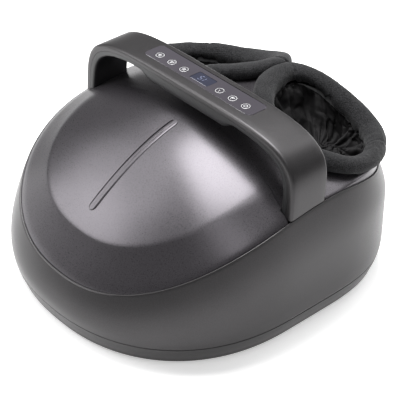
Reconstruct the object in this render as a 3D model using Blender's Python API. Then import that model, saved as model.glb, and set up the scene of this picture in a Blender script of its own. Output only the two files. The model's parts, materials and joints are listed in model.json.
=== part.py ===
"""Foot massager with a bridge handle, two padded foot openings and a kneading drive under each foot.

Frame: +X to the right seen from the toe end, +Y towards the user's legs, +Z up, and the
origin on the floor under the middle. All sizes are in metres.
"""

import math

import bmesh
import bpy
import numpy as np

# Plan of the seam between the lower shell and the pieces above it.
SEAM_HALF_WIDTH = 0.185
TOE_START_Y = -0.01275
TOE_REACH = 0.184
TOE_POWER = 2.27
HEEL_START_Y = 0.04275
HEEL_REACH = 0.158
HEEL_POWER = 2.79
TOE_Y = TOE_START_Y - TOE_REACH
HEEL_Y = HEEL_START_Y + HEEL_REACH

# Height of the seam: it peaks behind the handle and falls to the toes and to the back.
SEAM_PEAK_Y = 0.05375
SEAM_PEAK_Z = 0.1585
SEAM_TOE_Z = 0.0707
SEAM_HEEL_DROP = 0.026

# Lower shell.
SHELL_WALL = 0.003
SHELL_FOOT_Z = 0.0266
FLARE_TOE = 0.0146
FLARE_HEEL = 0.010
FLARE_TOE_DEPTH_SHARE = 0.56
FLARE_HEEL_DEPTH_SHARE = 0.24
TUCK = 0.0116
TUCK_TOP_Z = 0.043
LIP_WIDTH = 0.0016
LEDGE_DROP = 0.0025
LEDGE_WIDTH = 0.006
LEDGE_THICK = 0.0035
SEAM_GAP = 0.0003
SHELL_OUTER_SHARES = (0, 0.16, 0.76, 0.88, 0.95, 1)
SHELL_INNER_SHARES = (0.78, 0.16, 0)

# Height of the cover's crown, of the deck's ridge behind it and of the handle over both.
COVER_TOP_Z = 0.200
DECK_STEP = 0.0005
DECK_RIDGE_Z = COVER_TOP_Z + DECK_STEP
HANDLE_RISE = 0.0357
HANDLE_TOP_Z = DECK_RIDGE_Z + HANDLE_RISE

# Handle.
HANDLE_FRONT_Y = -0.0145
HANDLE_DEPTH = 0.0529
HANDLE_BACK_Y = HANDLE_FRONT_Y + HANDLE_DEPTH
HANDLE_LEAN = 0.006
HANDLE_POWER = 4.4
HANDLE_SIDE_THICK = 0.017
HANDLE_TOP_THICK = 0.012
HANDLE_SKIN_SIDE = 0.009
HANDLE_SKIN_TOP = 0.0062
HANDLE_SEAT_GAP = 0.0012
HANDLE_BACK_GAP = 0.0012
HANDLE_ROUND = 0.0035
HANDLE_SPLIT_GAP = 0.0003
HANDLE_EDGE_SHARE = 0.45
POD_DROP = 0.0092
POD_HALF_LENGTH = 0.062
POD_BLEND = 0.022
POD_WALL = 0.0022
POD_EDGE_SHARE = 0.6
TONGUE_THICK = 0.005
TONGUE_INSET = 0.0105
TONGUE_HALF_WIDTH = 0.012
TONGUE_BOTTOM_Z = 0.1295

# Turns of the handle's sections up each leg, then shares of the half width along its top.
LEG_TURN_SHARES = (0, 0.08, 0.16, 0.30)
TOP_WIDTH_SHARES = (0.955, 0.92, 0.865, 0.78, 0.64, 0.46, 0.395, 0.335, 0.15)

# Front cover.
COVER_TUCK = 0.02025
COVER_REAR_Y = HANDLE_FRONT_Y + COVER_TUCK
COVER_REAR_BOW = 0.022
COVER_BOW_POWER = 8
COVER_WALL = 0.0026
COVER_RING_SHARES = (0.22, 0.42, 0.59, 0.75, 0.85, 0.925, 1)
CREASE_SIDE_SHARE = 0.76
CREASE_TOE_SHARE = 0.85
CREASE_SIDE_FALL_SHARE = 0.48
CREASE_TOE_FALL_SHARE = 0.657
CROWN_SIDE_POWER = 2.0
CROWN_TOE_POWER = 1.72
STRIP_WIDTH = 0.011
STRIP_END_SHARES = (0.04, 0.18, 0.5, 1)
STRIP_THICK = 0.001
STRIP_DEPTH = 0.0014
STRIP_REAR_INSET = 0.02575
STRIP_TOE_INSET = 0.05075
STRIP_REAR_Y = COVER_REAR_Y - STRIP_REAR_INSET
STRIP_TOE_Y = TOE_Y + STRIP_TOE_INSET

# Rear deck.
DECK_CENTRE_Y = 0.06375
DECK_FRONT_DIP = 0.004
DECK_HEEL_RISE = 0.019
DECK_SIDE_POWER = 1.8
DECK_HEEL_POWER = 5.8
DECK_WALL = 0.0028
DECK_GAP = 0.0006
DECK_RING_SHARES = (0.35, 0.62, 0.80, 0.91, 0.97, 1)

# Padded cuffs round the openings. Each fills half the deck behind the handle, less its margins.
CUFF_MIDDLE_SHIFT = 0.0035
CUFF_SIDE_MARGIN = 0.009
CUFF_REAR_SHIFT = 0.001425
CUFF_END_MARGIN = 0.014175
CUFF_X = SEAM_HALF_WIDTH / 2 - CUFF_MIDDLE_SHIFT
CUFF_Y = (HANDLE_BACK_Y + HEEL_Y) / 2 + CUFF_REAR_SHIFT
CUFF_LENGTH_HALF = SEAM_HALF_WIDTH / 2 - CUFF_SIDE_MARGIN
CUFF_WIDTH_HALF = (HEEL_Y - HANDLE_BACK_Y) / 2 - CUFF_END_MARGIN
CUFF_POWER = 1.8
CUFF_TURN = -0.37
CUFF_PAD_R = 0.0122
CUFF_SWELL_SHARE = 0.04
CUFF_LIFT = 0.0048
CUFF_SEAT_GAP = 0.00105
CUFF_SEAM_PINCH = 0.0013
CUFF_SEAM_STEPS = (5, 15, 26)
CUFF_MIDDLE_GAP = 0.0004

# Foot opening in the deck.
HOLE_INSET = 0.0045

# Base tray, feet and screws.
TRAY_BOTTOM_Z = 0.003
TRAY_FLOOR_THICK = 0.005
TRAY_EDGE_ROUND = 0.004
TRAY_RIM_WIDTH = 0.003
TRAY_UPSTAND = 0.003
FOOT_R = 0.011
FOOT_INSET = 0.055
FOOT_X = SEAM_HALF_WIDTH - FOOT_INSET
FOOT_FRONT_Y = -0.105
FOOT_REAR_Y = 0.135
FOOT_SEAT_GAP = 0.0003
SCREW_R = 0.0018
SCREW_HEAD_R = 0.0036
SCREW_HEAD_THICK = 0.0022
SCREW_GAP = 0.0004
BOSS_R = 0.006
LUG_THICK = 0.010
LUG_REACH = 0.018
LUG_HALF_WIDTH = 0.007
LUG_FRONT_Y = -0.040
LUG_REAR_Y = 0.070

# Kneading drive, one under each foot: the plate on the tray, the motor over it, the gears over that.
WELL_SHIFT = 0.002
WELL_X = CUFF_X - WELL_SHIFT
WELL_Y = 0.005
DRIVE_SHIFT = 0.015
DRIVE_Y = WELL_Y - DRIVE_SHIFT
PLATE_THICK = 0.0025
PLATE_HALF_WIDTH = 0.030
PLATE_HALF_LENGTH = 0.075
PLATE_CORNER_R = 0.008
REST_GAP = 0.0003
MOTOR_R = 0.010
MOTOR_LENGTH = 0.042
MOTOR_GAP = 0.0005
MOTOR_COLLAR_R = 0.004
MOTOR_COLLAR = 0.0025
MOTOR_LIFT = 0.0014
MOTOR_HEADROOM = 0.0038
WORM_Z = TRAY_BOTTOM_Z + TRAY_FLOOR_THICK + REST_GAP + PLATE_THICK + MOTOR_LIFT + MOTOR_R
SPINDLE_R = 0.0025
SPINDLE_COLLAR_R = 0.0045
SPINDLE_CLEARANCE = 0.0002
GEAR_MODULE = 0.00225
GEAR_TEETH = 20
PINION_TEETH = 8
GEAR_THICK = 0.005
GEAR_Z = WORM_Z + MOTOR_R + MOTOR_HEADROOM
GEAR_TIP_SHARE = 0.8
GEAR_ROOT_SHARE = 1.1
DISC_R = 0.028
DISC_THICK = 0.0056
DISC_BOSS_R = 0.010
DISC_WINDOW_GAP = 0.0025
DOME_R = 0.0085
DOME_HEIGHT = 0.0118
DOME_REACH = 0.017
DOME_FLAT_SHARE = 0.12
DOMES = 3
DISC_TOP_Z = GEAR_Z + GEAR_THICK + REST_GAP + DISC_THICK
WHEEL_TEETH = 20
WHEEL_THICK = 0.005
WHEEL_TIP_SHARE = 0.75
WHEEL_ROOT_SHARE = 1.0
NECK_SHARE = 0.9
WORM_PITCH_R = 0.0038
WORM_MODULE = 0.00117
WORM_LENGTH = 0.011
WORM_SHAFT_R = 0.0016
WORM_TOOTH_DEPTH = 0.00106
WORM_ROOT_SHARE = 0.75
WORM_THREAD_SHARE = 0.57
WORM_FLANK_SHARE = 0.42

# Foot wells.
WELL_HALF_LENGTH = 0.145
WELL_HALF_WIDTH = 0.051
WELL_POWER = 2.6
WELL_WALL = 0.002
WELL_LIFT = 0.0045
WELL_FLOOR_Z = GEAR_Z + GEAR_THICK + WELL_LIFT
WELL_FAN_Y = 0.060
WELL_TOP_GAP = 0.0038
WELL_RIM_INSET = 0.0079
WELL_MIDDLE_GAP = 0.0012
WELL_LEG_R = 0.004
WELL_LEG_FRONT_SHARE = 0.68
WELL_LEG_REAR_SHARE = 0.72
# The well's walls: share of the height, and share of the way from the tub to the wide rim.
WELL_LEVEL_SHARES = ((0, 0), (0.08, 0), (0.5, 0.5), (1, 1))
STEEPEST = 3

# Linings. The sole lies over the kneading domes, and the sock's top stays under the deck.
LINING_CLOTH = 0.0012
LINING_CUFF_GAP = 0.0009
LINING_WELL_GAP = 0.0020
LINING_SOLE_GAP = 0.0019
LINING_SOLE_Z = DISC_TOP_Z + DOME_HEIGHT + LINING_SOLE_GAP
LINING_FOLD = 0.0032
LINING_PLEAT_SHARES = (1, 1, 0.5, 0.3, 0.3, 0)
LINING_THROAT_SHARE = 0.52
LINING_GATHER_SHARE = 1.2
SOCK_CLEARANCE = 0.0349
SOCK_HEIGHT = DECK_RIDGE_Z - LINING_SOLE_Z - SOCK_CLEARANCE
SOCK_POWER = 2.4
SOCK_TIP_SHARE = 0.45
SOCK_TIP_DEPTH_SHARE = 0.06
# Sock sections from the throat to the toes, as shares of the well: the instep point's y and z,
# the sole point's y and z, and the half width.
SOCK_LENGTH_SHARES = (
    ((0.47, 0.86), (1.00, 0.66), 0.90),
    ((0.38, 0.56), (0.93, 0.30), 0.86),
    ((0.30, 0.46), (0.92, 0.03), 0.85),
    ((0.02, 0.41), (0.45, 0.00), 0.87),
    ((-0.55, 0.37), (-0.45, 0.00), 0.85),
    ((-0.84, 0.26), (-0.82, 0.01), 0.66),
)

# Control panel on the handle.
PANEL_LENGTH = 0.1857
PANEL_WIDTH = 0.0295
PANEL_MARGIN = 0.0147
PANEL_FRONT_Y = HANDLE_FRONT_Y + HANDLE_LEAN + PANEL_MARGIN
PANEL_SUNK = 0.0005
PANEL_TOP_Z = HANDLE_TOP_Z - PANEL_SUNK
PANEL_THICK = 0.0021
PANEL_CORNER_R = 0.006
PANEL_GAP = 0.0003
PANEL_LEDGE = 0.004
KEY_SPACINGS = (0.0313, 0.0531, 0.0750)
KEY_MARGIN = 0.0114
KEY_Y = PANEL_FRONT_Y + KEY_MARGIN
KEY_R = 0.00575
KEY_CLEARANCE = 0.00025
KEY_PROUD = 0.0001
KEY_FLANGE = 0.0011
KEY_FLANGE_THICK = 0.0012
KEY_RETAIN = 0.0007
KEY_STEM_R = 0.002
KEY_STEM_GAP = 0.0009
DISPLAY_LENGTH = 0.0300
DISPLAY_WIDTH = 0.0165
DISPLAY_MARGIN = 0.0141
DISPLAY_Y = PANEL_FRONT_Y + DISPLAY_MARGIN
DISPLAY_CORNER_R = 0.0015
BOARD_THICK = 0.0016
BOARD_GAP = 0.0004

# Air system, heaters and electronics.
BAG_HALF_LENGTH = 0.036
BAG_SIDE_GAP = 0.017
BAG_HALF_WIDTH = WELL_HALF_WIDTH - BAG_SIDE_GAP
BAG_THICK = 0.009
BAG_SHIFT = 0.041
BAG_Y = WELL_Y - BAG_SHIFT
BAG_GAP = 0.0005
BAG_EDGE_SHARE = 0.80
PAD_SIDE_GAP = 0.019
PAD_WIDTH = 2 * (WELL_HALF_WIDTH - PAD_SIDE_GAP)
PAD_THICK = 0.0012
PAD_TOE_GAP = 0.030
PAD_DISC_GAP = 0.002
GEAR_DISTANCE = (GEAR_TEETH + PINION_TEETH) * GEAR_MODULE / 2
PAD_FRONT_Y = WELL_Y - WELL_HALF_LENGTH + PAD_TOE_GAP
PAD_REAR_Y = DRIVE_Y - GEAR_DISTANCE - DISC_R - DISC_WINDOW_GAP - PAD_DISC_GAP
PUMP_LENGTH = 0.062
PUMP_WIDTH = 0.040
PUMP_HEIGHT = 0.032
PUMP_Y = -0.075
PUMP_PORT_R = 0.0025
PUMP_PORT = 0.008
VALVE_LENGTH = 0.034
VALVE_WIDTH = 0.046
VALVE_HEIGHT = 0.020
VALVE_SPACING = 0.019
VALVE_Y = PUMP_Y + PUMP_LENGTH / 2 + VALVE_SPACING + VALVE_LENGTH / 2
MAIN_BOARD_LENGTH = 0.080
MAIN_BOARD_WIDTH = 0.050
MAIN_BOARD_SPACING = 0.036
MAIN_BOARD_Y = VALVE_Y + VALVE_LENGTH / 2 + MAIN_BOARD_SPACING + MAIN_BOARD_LENGTH / 2
MAIN_BOARD_POST = 0.005
MAIN_BOARD_POST_R = 0.003
MAIN_BOARD_MARGIN = 0.006
CHIP_LENGTH = 0.016
CHIP_HEIGHT = 0.010
INLET_R = 0.0075
INLET_Z = 0.045
INLET_LENGTH = 0.018
INLET_BORE_R = 0.0034
INLET_BORE = 0.010
INLET_INSET = 0.0004

# How finely curves are divided, and the spare length that cutters reach past a wall.
OUTLINE_STEPS = 44
RING_STEPS = 20
CUFF_STEPS = 32
PAD_STEPS = 9
LINING_STEPS = 28
LINING_FOLDS = 7
OVERRUN = 0.004

SHELL_LOOK = ((0.075, 0.072, 0.080), 0.42, 0.35)
COVER_LOOK = ((0.105, 0.098, 0.110), 0.38, 0.40)
BLACK_LOOK = ((0.015, 0.015, 0.017), 0.45, 0.0)
GLOSS_LOOK = ((0.060, 0.055, 0.066), 0.12, 0.1)
DISPLAY_LOOK = ((0.010, 0.014, 0.040), 0.08, 0.0)
CUFF_LOOK = ((0.045, 0.045, 0.050), 0.95, 0.0)
LINING_LOOK = ((0.012, 0.012, 0.014), 0.60, 0.0)
WHITE_LOOK = ((0.75, 0.74, 0.70), 0.45, 0.0)
GREY_LOOK = ((0.30, 0.30, 0.31), 0.50, 0.0)
STEEL_LOOK = ((0.62, 0.62, 0.60), 0.30, 1.0)
RUBBER_LOOK = ((0.020, 0.020, 0.020), 0.85, 0.0)
BOARD_LOOK = ((0.020, 0.120, 0.050), 0.45, 0.0)
HEATER_LOOK = ((0.500, 0.180, 0.060), 0.60, 0.0)

SIDES = (("right", 1), ("left", -1))


def clear_scene():
    for obj in list(bpy.data.objects):
        bpy.data.objects.remove(obj)


def material(name, look):
    colour, roughness, metallic = look
    made = bpy.data.materials.new(name)
    made.use_nodes = True
    shader = made.node_tree.nodes["Principled BSDF"]
    shader.inputs["Base Color"].default_value = (*colour, 1)
    shader.inputs["Roughness"].default_value = roughness
    shader.inputs["Metallic"].default_value = metallic
    return made


def add(name, shape, look, at=(0, 0, 0), sharp=math.radians(35)):
    """Makes one closed object whose origin lies at the point given."""
    points, faces = shape
    mesh = bpy.data.meshes.new(name)
    mesh.from_pydata([tuple(p) for p in np.asarray(points) - np.asarray(at)], [], faces)
    work = bmesh.new()
    work.from_mesh(mesh)
    bmesh.ops.recalc_face_normals(work, faces=work.faces)
    if work.calc_volume(signed=True) < 0:
        bmesh.ops.reverse_faces(work, faces=work.faces)
    work.to_mesh(mesh)
    work.free()
    mesh.shade_smooth()
    mesh.set_sharp_from_angle(angle=sharp)
    obj = bpy.data.objects.new(name, mesh)
    obj.location = at
    bpy.context.scene.collection.objects.link(obj)
    if look:
        mesh.materials.append(material(name, look))
    return obj


def helper(name, shapes):
    """A hidden object that a Boolean uses. It may hold several closed shapes."""
    obj = add(name, merged(shapes), None)
    obj.hide_render = True
    obj.display_type = "WIRE"
    return obj


def combine(obj, shapes, operation):
    tool = helper(obj.name + "_" + operation.lower() + str(len(obj.modifiers)), shapes)
    step = obj.modifiers.new(operation.title(), "BOOLEAN")
    step.operation = operation
    step.solver = "EXACT"
    step.object = tool


def merged(shapes):
    points, faces = [], []
    for some, rim in shapes:
        faces += [[v + len(points) for v in face] for face in rim]
        points += [tuple(p) for p in some]
    return points, faces


# Plain shapes. Each returns (points, faces).


def stack(rings, loop=False, flat_ends=True):
    """A skin over rings of equal count, closed by its end faces or joined end to end."""
    count = len(rings[0])
    points = np.concatenate(rings)
    faces = []
    last = len(rings) if loop else len(rings) - 1
    for r in range(last):
        a, b = r * count, (r + 1) % len(rings) * count
        for i in range(count):
            j = (i + 1) % count
            faces.append([a + i, a + j, b + j, b + i])
    if loop:
        return points, faces
    if flat_ends:
        faces.append(list(range(count))[::-1])
        faces.append([(len(rings) - 1) * count + i for i in range(count)])
        return points, faces
    middles = np.array([rings[0].mean(axis=0), rings[-1].mean(axis=0)])
    points = np.concatenate([points, middles])
    first, second = len(points) - 2, len(points) - 1
    top = (len(rings) - 1) * count
    for i in range(count):
        j = (i + 1) % count
        faces.append([first, j, i])
        faces.append([second, top + i, top + j])
    return points, faces


def plan_ring(plan, z):
    plan = np.asarray(plan)
    return np.column_stack([plan, np.broadcast_to(z, len(plan))])


def prism(plan, low, high):
    return stack([plan_ring(plan, low), plan_ring(plan, high)])


def box(low, high):
    (x0, y0, z0), (x1, y1, z1) = low, high
    return prism([(x0, y0), (x1, y0), (x1, y1), (x0, y1)], z0, z1)


def centred_box(x, y, length_x, length_y, low, high):
    return box(
        (x - length_x / 2, y - length_y / 2, low), (x + length_x / 2, y + length_y / 2, high)
    )


def circle(x, y, r, steps=RING_STEPS):
    turn = np.arange(steps) * 2 * math.pi / steps
    return np.column_stack([x + r * np.cos(turn), y + r * np.sin(turn)])


def rounded(x, y, length_x, length_y, r, steps=4):
    """The plan of a rectangle with round corners."""
    points = []
    for quarter, (sx, sy) in enumerate(((1, 1), (-1, 1), (-1, -1), (1, -1))):
        for k in range(steps + 1):
            turn = (quarter + k / steps) * math.pi / 2
            points.append(
                (
                    x + sx * (length_x / 2 - r) + r * math.cos(turn),
                    y + sy * (length_y / 2 - r) + r * math.sin(turn),
                )
            )
    return np.array(points)


def turned(profile, x, y, steps=RING_STEPS):
    """A solid of revolution about a vertical axis from (radius, z) pairs."""
    return stack([plan_ring(circle(x, y, r, steps), z) for r, z in profile])


def turned_along_y(profile, x, z, steps=RING_STEPS):
    """A solid of revolution about an axis along Y from (radius, y) pairs."""
    rings = []
    for r, y in profile:
        flat = circle(x, z, r, steps)
        rings.append(np.column_stack([flat[:, 0], np.full(steps, y), flat[:, 1]]))
    return stack(rings)


def turned_along_x(profile, y, z, steps=RING_STEPS):
    rings = []
    for r, x in profile:
        flat = circle(y, z, r, steps)
        rings.append(np.column_stack([np.full(steps, x), flat[:, 0], flat[:, 1]]))
    return stack(rings)


# The seam line and the surfaces that start from it.


def bent(value, power):
    return np.sign(value) * np.abs(value) ** (2 / power)


def seam_z(y):
    y = np.asarray(y, float)
    toe_fall = SEAM_PEAK_Z - SEAM_TOE_Z
    toe = SEAM_PEAK_Z - toe_fall * ((y - SEAM_PEAK_Y) / (SEAM_PEAK_Y - TOE_Y)) ** 2
    back = (y - SEAM_PEAK_Y) / (HEEL_Y - SEAM_PEAK_Y)
    heel = SEAM_PEAK_Z - SEAM_HEEL_DROP / 2 * (1 - np.cos(math.pi * np.clip(back, 0, 1)))
    return np.where(y < SEAM_PEAK_Y, toe, heel)


def seam_plan():
    """Evenly spaced points of the seam in plan, starting at the toe, with their outward normals."""
    turn = np.linspace(-math.pi / 2, 0, 400)
    toe = np.column_stack(
        [
            SEAM_HALF_WIDTH * bent(np.cos(turn), TOE_POWER),
            TOE_START_Y + TOE_REACH * bent(np.sin(turn), TOE_POWER),
        ]
    )
    heel = np.column_stack(
        [
            SEAM_HALF_WIDTH * bent(np.cos(turn[::-1]), HEEL_POWER),
            HEEL_START_Y - HEEL_REACH * bent(np.sin(turn[::-1]), HEEL_POWER),
        ]
    )
    half = np.concatenate([toe, heel])
    run = np.concatenate([[0], np.cumsum(np.hypot(*np.diff(half, axis=0).T))])
    wanted = np.linspace(0, run[-1], OUTLINE_STEPS // 2 + 1)
    right = np.column_stack([np.interp(wanted, run, half[:, k]) for k in (0, 1)])
    left = right[-2:0:-1] * (-1, 1)
    whole = np.concatenate([right, left])
    along = np.roll(whole, -1, axis=0) - np.roll(whole, 1, axis=0)
    normal = np.column_stack([along[:, 1], -along[:, 0]])
    return whole, normal / np.linalg.norm(normal, axis=1)[:, None]


SEAM, SEAM_NORMAL = seam_plan()


def wall_offset(z, y):
    """How far the shell's outer face stands out from the seam line at a height."""
    top = seam_z(y)
    heel_share = (y - TOE_Y) / (HEEL_Y - TOE_Y)
    flare = FLARE_TOE + (FLARE_HEEL - FLARE_TOE) * heel_share
    down = FLARE_TOE_DEPTH_SHARE + (FLARE_HEEL_DEPTH_SHARE - FLARE_TOE_DEPTH_SHARE) * heel_share
    depth = np.clip((top - z) / (top * down), 0, 1)
    tuck = TUCK * np.clip((TUCK_TOP_Z - z) / TUCK_TOP_Z, 0, 1) ** 2
    return flare * np.sin(math.pi / 2 * depth) - tuck


def seam_ring(offset, z):
    plan = SEAM + SEAM_NORMAL * np.broadcast_to(offset, len(SEAM))[:, None]
    return plan_ring(plan, z)


def seam_part(offset, cut_y, front):
    """The seam moved by an offset, in front of or behind a line across it, as a polyline."""
    plan = SEAM + SEAM_NORMAL * offset
    base = SEAM
    count = len(plan)
    turns = range(-count // 2, count // 2 + 1) if front else range(count + 1)
    kept = []
    for i in turns:
        here, ahead = plan[i % count], plan[(i + 1) % count]
        level, above = base[i % count], base[(i + 1) % count]
        inside = here[1] < cut_y if front else here[1] > cut_y
        if inside:
            kept.append((*here, level[1]))
        if i != turns[-1] and (here[1] - cut_y) * (ahead[1] - cut_y) < 0:
            share = (cut_y - here[1]) / (ahead[1] - here[1])
            rim_y = level[1] + (above[1] - level[1]) * share
            kept.append((*(here + (ahead - here) * share), rim_y))
    return np.array(kept)


def cover_fall(s, toe_share):
    """How much of the way down to the seam the cover has gone at a share of the way out."""
    power = CROWN_SIDE_POWER + (CROWN_TOE_POWER - CROWN_SIDE_POWER) * toe_share
    crease = CREASE_SIDE_SHARE + (CREASE_TOE_SHARE - CREASE_SIDE_SHARE) * toe_share
    fall = CREASE_SIDE_FALL_SHARE + (CREASE_TOE_FALL_SHARE - CREASE_SIDE_FALL_SHARE) * toe_share
    skirt = fall + (1 - fall) * (s - crease) / (1 - crease)
    return np.where(s < crease, fall * (np.maximum(s, 0) / crease) ** power, skirt)


def out_share(x, y, centre_y):
    """The share of the way from a centre to the seam at which a point lies, and the seam point's y."""
    x, y = np.broadcast_arrays(np.asarray(x, float), np.asarray(y, float))
    low, high = np.full(x.shape, 0.01), np.full(x.shape, 400.0)
    for _ in range(48):
        k = (low + high) / 2
        wide = np.abs(x * k) / SEAM_HALF_WIDTH
        deep = centre_y + (y - centre_y) * k
        toe = (np.maximum(TOE_START_Y - deep, 0) / TOE_REACH) ** TOE_POWER + wide**TOE_POWER
        heel = (np.maximum(deep - HEEL_START_Y, 0) / HEEL_REACH) ** HEEL_POWER + wide**HEEL_POWER
        outside = np.where(deep < TOE_START_Y, toe, heel) > 1
        low, high = np.where(outside, low, k), np.where(outside, k, high)
    k = (low + high) / 2
    return 1 / k, centre_y + (y - centre_y) * k


def toe_share_at(rim_y):
    return np.clip((COVER_REAR_Y - rim_y) / (COVER_REAR_Y - TOE_Y), 0, 1)


def cover_z(x, y):
    s, rim_y = out_share(x, y, COVER_REAR_Y)
    return COVER_TOP_Z - (COVER_TOP_Z - seam_z(rim_y)) * cover_fall(s, toe_share_at(rim_y))


def deck_z(x, y):
    """Height of the deck. Past its rim it keeps the rim's height."""
    x, y = np.broadcast_arrays(np.asarray(x, float), np.asarray(y, float))
    front_share = np.clip((DECK_CENTRE_Y - y) / (DECK_CENTRE_Y - COVER_REAR_Y), 0, 1)
    ridge = DECK_RIDGE_Z - DECK_FRONT_DIP * front_share**2
    wide = np.clip(np.abs(x) / SEAM_HALF_WIDTH, 0, 1)
    across = (1 - front_share) * wide**DECK_SIDE_POWER + front_share * cover_fall(wide, 0)
    front = ridge - (ridge - seam_z(y)) * across
    s, rim_y = out_share(x, y, DECK_CENTRE_Y)
    back_share = (rim_y - DECK_CENTRE_Y) / (HEEL_Y - DECK_CENTRE_Y)
    back_share = np.clip(back_share, 0, 1)
    power = DECK_SIDE_POWER + (DECK_HEEL_POWER - DECK_SIDE_POWER) * back_share
    rim = seam_z(rim_y) + DECK_HEEL_RISE * back_share
    back = DECK_RIDGE_Z - (DECK_RIDGE_Z - rim) * np.clip(s, 0, 1) ** power
    return np.where(y < DECK_CENTRE_Y, front, back)


def grid_normals(grid):
    """Unit normals of a grid of points, pointing up."""
    across = np.gradient(grid, axis=0)
    along = np.gradient(grid, axis=1)
    normal = np.cross(across, along)
    normal /= np.maximum(np.linalg.norm(normal, axis=2), 1e-12)[:, :, None]
    return normal * np.where(normal[:, :, 2] < 0, -1, 1)[:, :, None]


def sheet_solid(middle, top, low_rim, wall, round_whole):
    """A domed sheet: rings of points round a middle point, a rim below them and a wall inwards.

    top[r, j] are the outer points, low_rim[j] the foot of the rim's outer face and
    wall the thickness. round_whole is True where the rings go all the way round.
    """
    rings, count = top.shape[:2]
    below = top - grid_normals(top) * wall
    inward = middle[None, :2] - low_rim[:, :2]
    inward /= np.linalg.norm(inward, axis=1)[:, None]
    inner_rim = low_rim.copy()
    inner_rim[:, :2] += inward * wall
    below[-1] = inner_rim
    points = [top.reshape(-1, 3), low_rim, below.reshape(-1, 3)]
    points.append(np.array([middle, middle - np.array([0, 0, wall])]))
    points = np.concatenate(points)
    rim_at, below_at = rings * count, (rings + 1) * count
    centre, centre_below = len(points) - 2, len(points) - 1
    steps = count if round_whole else count - 1
    faces = []
    for j in range(steps):
        k = (j + 1) % count
        faces.append([centre, j, k])
        faces.append([centre_below, below_at + k, below_at + j])
        for r in range(rings - 1):
            a, b = r * count, (r + 1) * count
            faces.append([a + j, b + j, b + k, a + k])
            faces.append([below_at + a + k, below_at + b + k, below_at + b + j, below_at + a + j])
        last = (rings - 1) * count
        faces.append([last + j, rim_at + j, rim_at + k, last + k])
        faces.append([rim_at + j, below_at + last + j, below_at + last + k, rim_at + k])
    if not round_whole:
        for j, turn in ((0, 1), (count - 1, -1)):
            faces.append([centre, centre_below, below_at + j, j][::turn])
            for r in range(rings - 1):
                a, b = r * count + j, (r + 1) * count + j
                faces.append([a, below_at + a, below_at + b, b][::turn])
            last = (rings - 1) * count + j
            faces.append([last, below_at + last, rim_at + j][::turn])
    return points, faces


# The outer pieces.


def lower_shell():
    top = seam_z(SEAM[:, 1])
    rings = []
    for share in SHELL_OUTER_SHARES:
        z = SHELL_FOOT_Z + (top - SHELL_FOOT_Z) * share
        rings.append(seam_ring(wall_offset(z, SEAM[:, 1]), z))
    rings.append(seam_ring(-LIP_WIDTH, top))
    rings.append(seam_ring(-LIP_WIDTH, top - LEDGE_DROP))
    rings.append(seam_ring(-LIP_WIDTH - LEDGE_WIDTH, top - LEDGE_DROP))
    rings.append(seam_ring(-LIP_WIDTH - LEDGE_WIDTH, top - LEDGE_DROP - LEDGE_THICK))
    for share in SHELL_INNER_SHARES:
        z = SHELL_FOOT_Z + (top - SHELL_FOOT_Z) * share
        rings.append(seam_ring(wall_offset(z, SEAM[:, 1]) - SHELL_WALL, z))
    shell = add("lower_shell", stack(rings, loop=True), SHELL_LOOK)
    lugs, holes = [], []
    for x, y, low, high in base_lugs():
        wall = inner_wall_x(y, low)
        inner = x if x > 0 else -x
        sides = sorted((math.copysign(inner - LUG_HALF_WIDTH, x), math.copysign(wall, x)))
        lugs.append(
            box((sides[0], y - LUG_HALF_WIDTH, low), (sides[1], y + LUG_HALF_WIDTH, high))
        )
        hole = SCREW_R + SCREW_GAP
        holes.append(turned([(hole, low - OVERRUN), (hole, high + OVERRUN)], x, y, 8))
    for side in (1, -1):
        near, far = tongue_x()
        low, high = handle_lug_z()
        wall = inner_wall_x(tongue_y(), high)
        start = far + REST_GAP
        sides = sorted((side * start, side * wall))
        reach = tongue_half_lug()
        lugs.append(
            box((sides[0], tongue_y() - reach, low), (sides[1], tongue_y() + reach, high))
        )
        ends = [side * (start - OVERRUN), side * (start + handle_screw_bite() + SCREW_GAP)]
        profile = [(SCREW_R + SCREW_GAP, end) for end in sorted(ends)]
        holes.append(turned_along_x(profile, tongue_y(), (low + high) / 2, 12))
    back = HEEL_Y + FLARE_HEEL
    hole = INLET_R + SEAM_GAP
    holes.append(turned_along_y([(hole, back - INLET_LENGTH), (hole, back + OVERRUN)], 0, INLET_Z))
    combine(shell, lugs, "UNION")
    combine(shell, holes, "DIFFERENCE")


def inner_wall_x(y, z):
    """Half the shell's inside width at a place, taken a little into the wall."""
    right = SEAM[: OUTLINE_STEPS // 2 + 1]
    normal = SEAM_NORMAL[: OUTLINE_STEPS // 2 + 1]
    offset = wall_offset(z, right[:, 1]) - SHELL_WALL / 2
    moved = right + normal * offset[:, None]
    middle = slice(OUTLINE_STEPS // 8, -OUTLINE_STEPS // 8)
    return float(np.interp(y, moved[middle, 1], moved[middle, 0]))


def base_lugs():
    """Places (x, y, low, high) of the lugs that the base screws go into."""
    low = SHELL_FOOT_Z + TRAY_UPSTAND + SCREW_GAP
    made = []
    for y in (LUG_FRONT_Y, LUG_REAR_Y):
        x = inner_wall_x(y, low) - LUG_REACH
        for side in (1, -1):
            made.append((side * x, y, low, low + LUG_THICK))
    return made


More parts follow.
